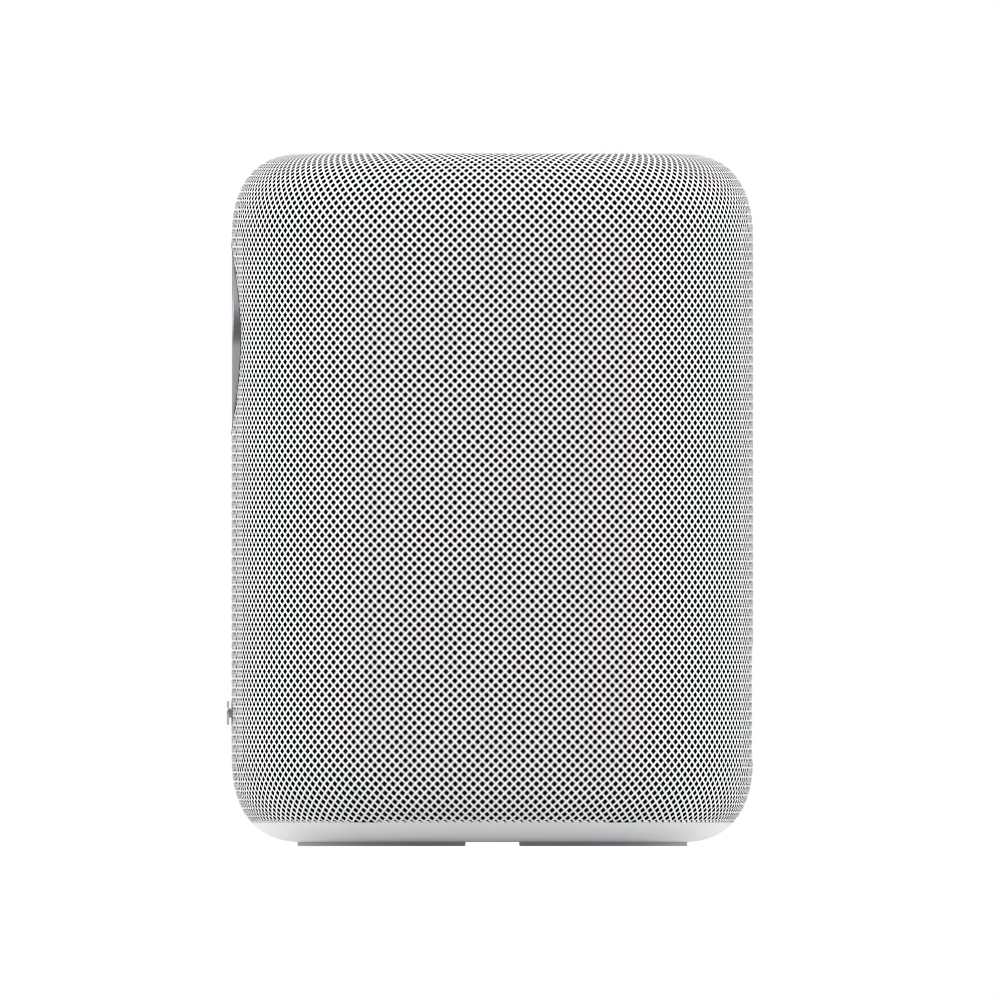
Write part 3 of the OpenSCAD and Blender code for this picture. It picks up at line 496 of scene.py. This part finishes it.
def build_camera():
    """A level side view from +X with no perspective, framed as the photo is."""
    scene = bpy.context.scene
    camera = bpy.data.cameras.new("camera")
    camera.type = "ORTHO"
    camera.ortho_scale = PHOTO_WIDTH
    camera.clip_end = 10
    view = bpy.data.objects.new("camera", camera)
    view.location = (1.2, *PHOTO_CENTRE)
    view.rotation_euler = (math.radians(90), 0, math.radians(90))
    scene.collection.objects.link(view)
    scene.camera = view
    scene.view_settings.view_transform = "Standard"
    scene.view_settings.look = "None"
    scene.cycles.filter_width = 1.0


def build_world():
    """White to the camera; as light, dim ahead of the photo's side, and brighter round it and above."""
    world = bpy.data.worlds.new("studio")
    world.use_nodes = True
    bpy.context.scene.world = world
    tree = world.node_tree
    tree.nodes.clear()
    out = add(tree, "ShaderNodeOutputWorld")
    where = add(tree, "ShaderNodeTexCoord")
    split = add(tree, "ShaderNodeSeparateXYZ")
    tree.links.new(where.outputs["Generated"], split.inputs[0])
    around = ease(tree, split.outputs["X"], 0.30, 0.92, 1.0, DIM_AHEAD)
    above = ease(tree, split.outputs["Z"], 0.30, 0.90, 0.0, 1.0)
    level = add(tree, "ShaderNodeMix", data_type="FLOAT")
    tree.links.new(above, level.inputs["Factor"])
    tree.links.new(around, level.inputs[2])
    level.inputs[3].default_value = LIT_ABOVE
    studio = add(tree, "ShaderNodeBackground", Color=(0.98, 0.99, 1.0, 1))
    tree.links.new(level.outputs[0], studio.inputs["Strength"])
    seen = add(tree, "ShaderNodeBackground", Color=(1, 1, 1, 1), Strength=1.0)
    ray = add(tree, "ShaderNodeLightPath")
    choose = add(tree, "ShaderNodeMixShader")
    tree.links.new(ray.outputs["Is Camera Ray"], choose.inputs[0])
    tree.links.new(studio.outputs[0], choose.inputs[1])
    tree.links.new(seen.outputs[0], choose.inputs[2])
    tree.links.new(choose.outputs[0], out.inputs[0])


def build_keys():
    """Two large softboxes, high on either side of the camera."""
    for name, side in (("left_key", -1), ("right_key", 1)):
        light = bpy.data.lights.new(name, "AREA")
        light.shape = "RECTANGLE"
        light.size, light.size_y = LAMP_SIZE
        light.energy = LAMP_POWER
        lamp = bpy.data.objects.new(name, light)
        lamp.location = (LAMP_PLACE[0], side * LAMP_PLACE[1], LAMP_PLACE[2])
        lamp.rotation_euler = (lamp.location - Vector(LAMP_AIM)).to_track_quat("Z", "Y").to_euler()
        bpy.context.scene.collection.objects.link(lamp)


def build_floor():
    """A pale matt disc, which glows a little, less so ahead of the photo's side."""
    material, tree, shader = new_material("floor")
    here = place(tree)
    slow = noise(tree, here, 3.0, 2.0)
    tree.links.new(ramp(tree, slow, (0.47, 0.47, 0.47), (0.50, 0.50, 0.50)), shader.inputs["Base Color"])
    shader.inputs["Roughness"].default_value = 0.9
    way = add(tree, "ShaderNodeVectorMath", operation="NORMALIZE")
    tree.links.new(here, way.inputs[0])
    parts = add(tree, "ShaderNodeSeparateXYZ")
    tree.links.new(way.outputs[0], parts.inputs[0])
    glow = ease(tree, parts.outputs["X"], 0.95, 0.30, 0.18, 0.45)
    shader.inputs["Emission Color"].default_value = (1, 1, 1, 1)
    tree.links.new(glow, shader.inputs["Emission Strength"])
    mesh = bpy.data.meshes.new("floor")
    ring = [(FLOOR_R * math.cos(a), FLOOR_R * math.sin(a), 0)
            for a in np.linspace(0, 2 * math.pi, FLOOR_SIDES + 1)[:-1]]
    mesh.from_pydata(ring, [], [tuple(range(FLOOR_SIDES))])
    mesh.materials.append(material)
    floor = bpy.data.objects.new("floor", mesh)
    bpy.context.scene.collection.objects.link(floor)


# ----------------------------------------------------------------------
# The woven sleeve: two families of flat strands at 45 degrees, over and under each other
COLUMNS = 374                                   # half pitches round the body, with a crossing at each
ROW = 1.312 * MM                                # distance up the profile between rows of crossings
FIRST_ROW = 0.08 * MM                           # how far above the seam the first row is
TURN = -0.285 * MM                              # of the whole pattern round the body
STRAND_W, STRAND_T = 0.62 * MM, 0.05 * MM
STRAND_PITCH = 1.835 * MM                       # from strand to strand of one family, straight across
MID_DEPTH, WAVE = 0.055 * MM, 0.026 * MM        # the weave's middle under the CAD's surface, and its waves
PLATEAU = 0.22                                  # of a half pitch: a strand is level this far from a crossing
SCRIM_DEPTH, SCRIM_REACH = 0.13 * MM, 0.8 * MM  # under the CAD's surface, and past the weave's edges
PANELS = 12
FABRIC_LOW = SEAM_Z - 0.08 * MM
DISPLAY_HOLE = BEZEL_R + 0.55 * MM
BAY_HOLE = 0.1 * MM                             # gap from the bay's frame to the edge of its hole
SECTION = [(math.cos(a) * STRAND_W / 2, math.sin(a) * STRAND_T / 2)
           for a in (2 * math.pi * k / 8 for k in range(8))]
SECTION_SHADE = [1.0, 1.0, 1.0, 1.0, 1.0, 0.8, 0.8, 0.8]     # painted shade: a strand is greyer on the side that faces in
UNDER_SHADE = 0.85                                           # and painted shadow where it goes under another, beside the strand over it
YARN_SHARE = 1 - (1 - STRAND_W / STRAND_PITCH) ** 2         # of the cloth's area; the rest is its holes


def fabric_there(p):
    """Above zero where the sleeve is: inside its lower and upper edges and outside its two holes."""
    x, y, z = p[..., 0], p[..., 1], p[..., 2]
    low = z - FABRIC_LOW
    plan = (np.abs(x) ** PLAN_POWER + np.abs(y) ** PLAN_POWER) ** (1 / PLAN_POWER)
    high = np.where(z > HIGH_CORNER_Z, plan - HOLE_HALF, 1.0)
    display = np.where(y < 0, np.hypot(x, z - DISPLAY_Z) - DISPLAY_HOLE, 1.0)
    corner = BAY_CORNER + BAY_HOLE
    qx = np.abs(x) - (BAY_X + BAY_HOLE - corner)
    qz = np.abs(z - BAY_Z) - (BAY_H + BAY_HOLE - corner)
    bay = np.hypot(np.maximum(qx, 0), np.maximum(qz, 0)) + np.minimum(np.maximum(qx, qz), 0) - corner
    return np.minimum(np.minimum(low, high), np.minimum(display, np.where(y > 0, bay, 1.0)))


def strand_points(lean):
    """Rings of every strand of one family, as [strand, ring, section point, xyz], each ring's u, and the
    painted shade of each point.
    """
    rows = int((V_TOP + 3 * MM) / ROW) + 3
    knot = np.arange(-2, rows)
    along = np.sort(np.concatenate([knot - PLATEAU, knot + PLATEAU]))[None, :]
    start = np.arange(0, COLUMNS, 2)[:, None]
    column = start + lean * along
    odd = np.mod(start + lean * np.round(along), 2)
    u = column / COLUMNS + TURN / PERIMETER
    v = FIRST_ROW + ROW * np.broadcast_to(along, u.shape)
    point, normal = shell(u, v)
    step_back, _ = shell(u - lean * 0.1 / COLUMNS, v - 0.1 * ROW)
    step_on, _ = shell(u + lean * 0.1 / COLUMNS, v + 0.1 * ROW)
    side = np.cross(normal, step_on - step_back)
    side /= np.linalg.norm(side, axis=-1)[..., None]
    lift = np.where(odd == 1, lean, -lean) * WAVE - MID_DEPTH
    centre = point + normal * lift[..., None]
    a = np.array([s[0] for s in SECTION])[:, None]
    b = np.array([s[1] for s in SECTION])[:, None]
    # painted shade and shadow: greyer on the strand's inner side and where it dips under another strand
    tone = np.where(lift < -MID_DEPTH, UNDER_SHADE, 1.0)[..., None] * np.array(SECTION_SHADE)
    return centre[..., None, :] + side[..., None, :] * a + normal[..., None, :] * b, u, tone


def cut_ring(path, values):
    """Where each of a ring's points, going along path, meets the edge of the cloth."""
    inside = values > 0
    out = path[0].copy()
    for k in range(path.shape[1]):
        for step in range(len(path) - 1):
            if not inside[step + 1, k]:
                f0, f1 = values[step, k], values[step + 1, k]
                share = f0 / (f0 - f1) if f0 > 0 else 0.0
                out[k] = path[step, k] * (1 - share) + path[step + 1, k] * share
                break
            out[k] = path[step + 1, k]
    return out


def strand_runs(rings, value, tone, panel):
    """Each whole stretch of each strand, with its ends cut to the cloth's edge: rings, painted shades and
    panels.
    """
    whole = (value > 0).all(axis=2)
    last = rings.shape[1]
    for s in range(rings.shape[0]):
        edges = np.flatnonzero(np.diff(np.concatenate([[0], whole[s].astype(int), [0]])))
        for first, end in zip(edges[::2], edges[1::2], strict=True):
            run = [rings[s, k] for k in range(first, end)]
            run_shade = [tone[s, k] for k in range(first, end)]
            home = list(panel[s, first:end])
            if first > 0:
                back = slice(first, first - 4 if first >= 4 else None, -1)
                run.insert(0, cut_ring(rings[s, back], value[s, back]))
                home.insert(0, home[0])
                run_shade.insert(0, run_shade[0])
            if end < last:
                on = slice(end - 1, min(end + 3, last))
                run.append(cut_ring(rings[s, on], value[s, on]))
                home.append(home[-1])
                run_shade.append(run_shade[-1])
            yield run, run_shade, np.array(home)


class Panel:
    """The yarn of one panel, gathered stretch by stretch."""
    def __init__(self):
        self.points, self.tones, self.quads, self.caps, self.size = [], [], [], [], 0

    def take(self, rings, ring_shades):
        width = len(SECTION)
        around = np.arange(width)
        base = self.size + np.arange(len(rings) - 1)[:, None] * width + around
        nxt = self.size + np.arange(len(rings) - 1)[:, None] * width + (around + 1) % width
        self.quads.append(np.stack([base, nxt, nxt + width, base + width], -1).reshape(-1, 4))
        self.points.append(np.concatenate(rings))
        self.tones.append(np.concatenate(ring_shades))
        self.caps.append(self.size + around[::-1])
        self.caps.append(self.size + (len(rings) - 1) * width + around)
        self.size += len(rings) * width

    def mesh(self, name):
        verts = np.concatenate(self.points).astype(np.float32)
        quad, cap = np.concatenate(self.quads), np.array(self.caps)
        mesh = bpy.data.meshes.new(name)
        mesh.vertices.add(len(verts))
        mesh.vertices.foreach_set("co", verts.ravel())
        corners = np.concatenate([quad.ravel(), cap.ravel()]).astype(np.int32)
        mesh.loops.add(len(corners))
        mesh.loops.foreach_set("vertex_index", corners)
        starts = [np.arange(len(quad)) * 4, len(quad) * 4 + np.arange(len(cap)) * len(SECTION)]
        starts = np.concatenate(starts).astype(np.int32)
        mesh.polygons.add(len(starts))
        mesh.polygons.foreach_set("loop_start", starts)
        mesh.update(calc_edges=True)
        mesh.shade_smooth()
        # the tone attribute holds the yarn's painted shade and shadow
        shade = mesh.attributes.new("tone", "FLOAT", "POINT")
        shade.data.foreach_set("value", np.concatenate(self.tones).astype(np.float32))
        mesh.materials.append(YARN)
        return mesh


def panel_area(p):
    """Area of panel p's yarn, from a grid of points on the stretched cloth."""
    u = (np.arange(60) + 0.5) / 60 / PANELS + p / PANELS
    v = (np.arange(200) + 0.5) / 200 * V_TOP
    uu, vv = np.meshgrid(u, v)
    point, _ = shell(uu, vv)
    du, _ = shell(uu + 1e-5, vv)
    dv, _ = shell(uu, vv + 1e-6)
    patch = np.linalg.norm(np.cross((du - point) / 1e-5, (dv - point) / 1e-6), axis=-1)
    return np.where(fabric_there(point) > 0, patch, 0).mean() * V_TOP / PANELS * YARN_SHARE


def build_weave():
    """The weave as twelve pieces, each strand given to the panel it is over at each crossing."""
    panels = [Panel() for _ in range(PANELS)]
    for lean in (1, -1):
        rings, u, tone = strand_points(lean)
        panel = np.floor(np.mod(u, 1.0) * PANELS).astype(int) % PANELS
        for run, run_shade, home in strand_runs(rings, fabric_there(rings), tone, panel):
            cuts = [0, *np.flatnonzero(np.diff(home)) + 1, len(home)]
            for a, b in zip(cuts[:-1], cuts[1:], strict=True):
                end = min(b + 1, len(run))
                if end - a >= 2:
                    panels[home[a]].take(run[a:end], run_shade[a:end])
    for p in range(PANELS):
        name = f"fabric_panel_{p + 1}"
        obj = settle(panels[p].mesh(name), name,
                     replaces=("fabric_sleeve",) if p == 0 else ())
        patch = panel_area(p)


def build_scrim():
    """Black acoustic cloth right behind the open weave, with the same two holes."""
    across, up = 288, 150
    u = np.arange(across) / across
    v = np.linspace(0.2 * MM, V_TOP + 0.3 * MM, up + 1)
    uu, vv = np.meshgrid(u, v)
    point, normal = shell(uu, vv)
    point = point - normal * SCRIM_DEPTH
    keep = fabric_there(point) > -SCRIM_REACH
    faces = []
    for j in range(up):
        for i in range(across):
            k = (i + 1) % across
            if keep[j, i] and keep[j, k] and keep[j + 1, k] and keep[j + 1, i]:
                faces.append((j * across + i, j * across + k, (j + 1) * across + k, (j + 1) * across + i))
    used = sorted({i for f in faces for i in f})
    where = {old: new for new, old in enumerate(used)}
    flat_points = point.reshape(-1, 3)
    obj = piece("fabric_scrim", flat_points[used], [tuple(where[i] for i in f) for f in faces], SCRIM,
                sharp=180)
    du = np.linalg.norm(np.roll(point, -1, 1) - point, axis=-1)[:-1]


def build_top_hem():
    """Heat-sealed edge of the sleeve round the touch panel."""
    radius, half, z = 0.34 * MM, HOLE_HALF + 0.30 * MM, TOP_Z - 0.38 * MM
    rings = []
    for k in range(10):
        a = 2 * math.pi * k / 10
        rings.append(outline_ring(half + radius * math.cos(a), z + radius * math.sin(a), 384))
    verts, faces = skin(rings, closed=True)
    piece("fabric_top_hem", verts, faces, HEM, sharp=180)


# ----------------------------------------------------------------------
# Base, feet and touch panel
BASE_SCREW = 36 * MM                            # how far out a base screw is, in x and in y
MIC_PLACE, MIC_R = 29 * MM, 0.6 * MM            # and a microphone hole, and its radius
PAD_INNER, PAD_GAP = 42 * MM, 15 * MM           # half width of the pads' hollow, and the gap between them
PANEL_NECK = 42.7 * MM                          # half width of the touch panel where it sits in its seat
OUTLINE_SIDES = 320


def corner_point(t):
    """Half width and height of the lower corner's profile."""
    power = 2 / CORNER_POWER
    return (FLAT_HALF + CORNER_W * max(0.0, math.cos(t)) ** power,
            LOW_CORNER_Z - CORNER_H * max(0.0, math.sin(t)) ** power)


def build_base():
    """The white base, which carries on the lower corner's profile down to the feet, with screw holes."""
    rim_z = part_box("base_cap")[1].z
    rim_t = math.asin(((LOW_CORNER_Z - rim_z) / CORNER_H) ** (CORNER_POWER / 2))
    steps = 28
    profile = [corner_point(math.pi / 2 - (math.pi / 2 - rim_t) * (i / steps) ** 1.3) for i in range(steps)]
    half, z = corner_point(rim_t)
    profile += [(half - 0.06 * MM, z - 0.05 * MM), (half - 0.16 * MM, z), (half - 2.2 * MM, z),
                (FLAT_HALF + 8 * MM, FOOT_H + 2.5 * MM)]
    verts, faces = skin([outline_ring(h, z, OUTLINE_SIDES) for h, z in profile])
    base = piece("base_shell", verts, faces, BASE_PLASTIC, replaces=("base_cap",),
                 sharp=30)
    counterbore = [(3.5, -0.5), (3.5, 0.15), (3.3, 0.35), (3.3, 1.4), (1.7, 1.4), (1.7, 6)]
    counterbore = [(r * MM, h * MM) for r, h in counterbore]
    cutters = [turned(counterbore, (x, y, FOOT_H), (0, 0, 1), 48)
               for x in (-BASE_SCREW, BASE_SCREW) for y in (-BASE_SCREW, BASE_SCREW)]
    drill(base, cutters, 30)


def pad_loop(inset, side, outer, inner, gap, steps=72):
    """Plan of half a ring between two outlines, cut off short of the middle."""
    def arc(half):
        angle = np.linspace(0, math.pi, 4001)
        inside = plan_radius(angle) * half * np.sin(angle) >= gap / 2 + inset
        a0, a1 = angle[inside][0], angle[inside][-1]
        angle = np.linspace(a0, a1, steps)
        r = plan_radius(angle) * half
        return [(r[i] * math.cos(angle[i]), side * r[i] * math.sin(angle[i])) for i in range(steps)]
    return arc(outer - inset) + arc(inner + inset)[::-1]


def build_pad(name, side):
    """A rubber pad with a soft lower edge; side is -1 for the front one and 1 for the rear one."""
    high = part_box(name)[1]
    rings = []
    for z, inset in ((0.0, 0.42), (0.06, 0.2), (0.22, 0.05), (0.45, 0.0), (1.1, 0.0)):
        rings.append([(x, y, z * MM) for x, y in pad_loop(inset * MM, side, high.x, PAD_INNER, PAD_GAP)])
    if side < 0:
        rings = [r[::-1] for r in rings]
    verts, faces = skin(rings)
    piece(name + "_rubber", verts, faces, RUBBER_GREY, replaces=(name,), sharp=12)


def build_top_panel():
    """The touch panel with a soft edge, and its four microphone holes."""
    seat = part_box("top_panel")[0].z
    profile = [(PANEL_NECK, seat), (PANEL_NECK, seat + 2 * MM), (PANEL_HALF, seat + 2 * MM),
               (PANEL_HALF, PANEL_Z - 0.35 * MM), (PANEL_HALF - 0.10 * MM, PANEL_Z - 0.10 * MM),
               (PANEL_HALF - 0.35 * MM, PANEL_Z), (PANEL_HALF - 0.9 * MM, PANEL_Z)]
    verts, faces = skin([outline_ring(h, z, OUTLINE_SIDES) for h, z in profile])
    panel = piece("touch_panel", verts, faces, PANEL_PLASTIC, replaces=("top_panel",))
    drill(panel, [turned([(MIC_R, -1.2 * MM), (MIC_R, 1 * MM)], (x, y, PANEL_Z), (0, 0, 1), 24)
                  for x in (-MIC_PLACE, MIC_PLACE) for y in (-MIC_PLACE, MIC_PLACE)], 35)


def build_touch_marks():
    """Plus, minus and play marks printed on the touch panel."""
    z0, z1 = PANEL_Z, PANEL_Z + 0.05 * MM

    def bar(x, y, half_x, half_y):
        points = round_rect(half_x * MM, half_y * MM, min(half_x, half_y) * 0.98 * MM, 6)
        return skin([[(px + x * MM, py + y * MM, z) for px, py in points] for z in (z0, z1)])

    def wedge(x, y, size):
        corners = [(size, 0), (-size * 0.6, size * 0.95), (-size * 0.6, -size * 0.95)]
        return skin([[(cx * MM + x * MM, cy * MM + y * MM, z) for cx, cy in corners] for z in (z0, z1)])

    def cross(x, y, half, w):
        corners = [(half, -w), (half, w), (w, w), (w, half), (-w, half), (-w, w),
                   (-half, w), (-half, -w), (-w, -w), (-w, -half), (w, -half), (w, -w)]
        return skin([[(cx * MM + x * MM, cy * MM + y * MM, z) for cx, cy in corners] for z in (z0, z1)])

    marks = [cross(26, 0, 3.2, 0.45), bar(-26, 0, 3.2, 0.45), wedge(-2.2, 0, 3.2),
             bar(3.0, 0, 0.5, 3.0), bar(5.6, 0, 0.5, 3.0)]
    verts, faces = join(marks)
    piece("touch_marks", verts, faces, ICON, smooth=False)


# ----------------------------------------------------------------------
# Display and badge
HOUR_TICK, MINUTE_TICK, TICK_END = (18.6, 0.30), (20.4, 0.14), 21.2     # start and half width; end: all in mm
HANDS = ((-55, 9.5, 0.55), (62, 15.5, 0.38))                            # degrees, length and half width in mm


def build_display():
    """The metal ring and the cover glass inside it."""
    centre, axis = (0, 0, DISPLAY_Z), (0, -1, 0)
    face, back = -BEZEL_Y, -bezel_high.y
    inner = GLASS_R + 0.1 * MM
    profile = [(inner, back), (BEZEL_R, back), (BEZEL_R, face - 0.50 * MM), (BEZEL_R, face - 0.42 * MM),
               (BEZEL_R - 0.05 * MM, face - 0.30 * MM), (BEZEL_R - 0.30 * MM, face - 0.04 * MM),
               (BEZEL_R - 0.42 * MM, face), (inner + 0.42 * MM, face),
               (inner + 0.12 * MM, face - 0.15 * MM), (inner, face - 0.35 * MM)]
    verts, faces = turned(profile, centre, axis, 192, closed=True)
    piece("display_ring", verts, faces, RING_METAL, replaces=("display_bezel",), sharp=25)

    front = -GLASS_Y
    profile = [(0.001 * MM, front - 1.2 * MM), (GLASS_R, front - 1.2 * MM), (GLASS_R, front - 0.35 * MM),
               (GLASS_R - 0.08 * MM, front - 0.12 * MM), (GLASS_R - 0.30 * MM, front - 0.01 * MM),
               (GLASS_R - 0.60 * MM, front), (0.001 * MM, front)]
    verts, faces = turned(profile, centre, axis, 192)
    piece("front_glass", verts, faces, GLASS, replaces=("display_glass",))


def clock_bar(degrees, start, end, wide, narrow, y, height):
    """A raised bar on the screen, in millimetres along and across its own direction."""
    a = math.radians(degrees)
    along, across = Vector((math.sin(a), 0, math.cos(a))), Vector((math.cos(a), 0, -math.sin(a)))
    corners = [along * start + across * wide, along * end + across * narrow,
               along * end - across * narrow, along * start - across * wide]
    return skin([[(c.x * MM, -out, c.z * MM + DISPLAY_Z) for c in corners] for out in (y, y + height * MM)])


def build_clock():
    """The screen's picture: a plain clock with 60 ticks and two hands."""
    y = -(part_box("display_panel")[0].y) + 0.02 * MM
    parts = []
    for minute in range(60):
        start, half_w = HOUR_TICK if minute % 5 == 0 else MINUTE_TICK
        parts.append(clock_bar(6 * minute, start, TICK_END, half_w, half_w, y, 0.03))
    for degrees, length, half_w in HANDS:
        parts.append(clock_bar(degrees, 0, length, half_w, half_w * 0.6, y, 0.05))
    parts.append(turned([(1.1 * MM, y), (1.1 * MM, y + 0.07 * MM)], (0, 0, DISPLAY_Z), (0, -1, 0), 32))
    verts, faces = join(parts)
    piece("clock_marks", verts, faces, MARKS, smooth=False)


def build_gasket():
    """Seal between the ring and the sleeve, which follows the curve of the wall."""
    rings = []
    lip = [(0.05, -3.0), (0.05, 0.0), (0.12, 0.04), (0.75, 0.04), (0.88, -0.06), (0.88, -1.0), (0.6, -3.0)]
    for r, h in lip:
        ring = []
        for i in range(192):
            a = 2 * math.pi * i / 192
            x, dz = (BEZEL_R + r * MM) * math.cos(a), (BEZEL_R + r * MM) * math.sin(a)
            ring.append((x, -(float(wall_y(x)) + h * MM), DISPLAY_Z + dz))
        rings.append(ring)
    verts, faces = skin(rings, closed=True)
    piece("bezel_gasket", verts, faces, SEAL_RUBBER, replaces=("bezel_trim_ring",))


def build_badge():
    """The blank metal pill with rounded edges, and its two studs."""
    length, height = badge_high.x - badge_low.x, badge_high.z - badge_low.z
    zc, front = (badge_high.z + badge_low.z) / 2, badge_low.y
    back = front + 0.72 * MM
    rings = []
    for y, inset in ((back, 0.06), (back - 0.05 * MM, 0.0), (front + 0.16 * MM, 0.0),
                     (front + 0.05 * MM, 0.05), (front, 0.16), (front, 0.60),
                     (front + 0.05 * MM, 0.66), (front + 0.05 * MM, 1.2)):
        half_h = height / 2 - inset * MM
        points = round_rect(length / 2 - inset * MM, half_h, half_h - 1e-6, 24)
        rings.append([(x, y, zc + z) for x, z in points])
    parts = [skin(rings)]
    for x in (-8 * MM, 8 * MM):
        parts.append(turned([(0.75 * MM, 0), (0.75 * MM, 4.6 * MM)], (x, back, zc), (0, 1, 0), 24))
    verts, faces = join(parts)
    piece("badge_pill", verts, faces, BADGE_METAL, replaces=("badge_plate",), sharp=40)


# ----------------------------------------------------------------------
# Rear sockets
def build_bay_frame():
    """The bay's rounded frame, which follows the curve of the wall."""
    floor_y = bay_low.y
    rings = []
    for inset, back in ((0.0, None), (0.0, 0.30), (0.06, 0.10), (0.25, 0.0), (1.05, 0.0), (1.28, 0.08),
                        (1.4, 0.32), (1.4, None)):
        ring = []
        for x, z in round_rect(BAY_X - inset * MM, BAY_H - inset * MM, BAY_CORNER - inset * MM, 12):
            y = floor_y if back is None else float(wall_y(x)) - back * MM
            ring.append((x, y, BAY_Z + z))
        rings.append(ring)
    verts, faces = skin(rings, closed=True)
    piece("bay_frame", verts, faces, BAY_PLASTIC, replaces=("rear_trim",), sharp=30)


def build_ports():
    """Printed marks above the socket, the button and the switch, and the socket's contact ring."""
    floor_y = bay_low.y
    low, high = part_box("line_in_socket")
    jack = ((low.x + high.x) / 2, high.y, (low.z + high.z) / 2)
    verts, faces = turned([(1.86 * MM, 0), (2.36 * MM, 0), (2.36 * MM, 0.05 * MM), (1.86 * MM, 0.05 * MM)],
                          jack, (0, 1, 0), 48, closed=True)
    piece("jack_ring", verts, faces, CONTACT)

    parts = []
    mark_z = jack[2] + 5.3 * MM

    def flat(points, x, z):
        parts.append(skin([[(x + px * MM, y, z + pz * MM) for px, pz in points]
                           for y in (floor_y + 0.03 * MM, floor_y)]))

    def ring(x, z, r, w):
        inner, outer, thick = (r - w) * MM, r * MM, 0.03 * MM
        parts.append(turned([(inner, 0), (outer, 0), (outer, thick), (inner, thick)],
                            (x, floor_y, z), (0, 1, 0), 40, closed=True))

    ring(jack[0], mark_z, 0.95, 0.22)
    flat([(-0.35, 0.45), (0.0, -0.35), (0.35, 0.45)], jack[0], mark_z)
    button_x = (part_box("rear_button")[0].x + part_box("rear_button")[1].x) / 2
    ring(button_x, mark_z, 0.95, 0.22)
    flat([(-0.12, 0.1), (0.12, 0.1), (0.12, 1.1), (-0.12, 1.1)], button_x, mark_z)
    knob_x = (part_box("mic_switch")[0].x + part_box("mic_switch")[1].x) / 2
    capsule = round_rect(0.42 * MM, 0.72 * MM, 0.41 * MM, 8)
    flat([(x / MM, z / MM) for x, z in capsule], knob_x + 0.9 * MM, mark_z + 0.2 * MM)
    flat([(-0.10, -1.05), (0.10, -1.05), (0.10, -0.5), (-0.10, -0.5)], knob_x + 0.9 * MM, mark_z)
    verts, faces = join(parts)
    piece("bay_marks", verts, faces, ICON, smooth=False)


def build_switch_cases():
    """Black cases of the push switch and the slide switch that stand on the port board."""
    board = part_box("port_board")[1]
    parts = []
    for name, shift, half_x, half_z, top in (("rear_button", 0.0, 3.05, 3.05, board.y - 8.55 * MM),
                                             ("mic_switch", 0.9, 3.65, 2.05, board.y + 0.05 * MM)):
        low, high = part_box(name)
        x, z = (low.x + high.x) / 2 + shift * MM, (low.z + high.z) / 2
        parts.append(box_mesh((x - half_x * MM, board.y - 12 * MM, z - half_z * MM),
                              (x + half_x * MM, top, z + half_z * MM), 0.03 * MM))
    verts, faces = join(parts)
    piece("switch_cases", verts, faces, SOCKET_BLACK, sharp=30)


def soften_edges():
    """Small round edges on the moulded and pressed CAD pieces round the back."""
    for name, width in (("rear_panel", 0.12), ("mains_inlet", 0.35), ("line_in_socket", 0.30),
                        ("rear_button", 0.35), ("mic_switch", 0.22), ("inlet_pins", 0.5),
                        ("badge_spacer", 0.1)):
        modifier = nodes[name].modifiers.new("edges", "BEVEL")
        modifier.width = width * MM
        modifier.segments = 3
        modifier.limit_method = "ANGLE"
        modifier.angle_limit = math.radians(50)
        modifier.use_clamp_overlap = True


build_camera()
build_world()
build_keys()
build_floor()
build_scrim()
build_weave()
build_top_hem()
build_base()
build_pad("front_foot_pad", -1)
build_pad("rear_foot_pad", 1)
build_top_panel()
build_touch_marks()
build_display()
build_clock()
build_gasket()
build_badge()
build_bay_frame()
build_ports()
build_switch_cases()
soften_edges()
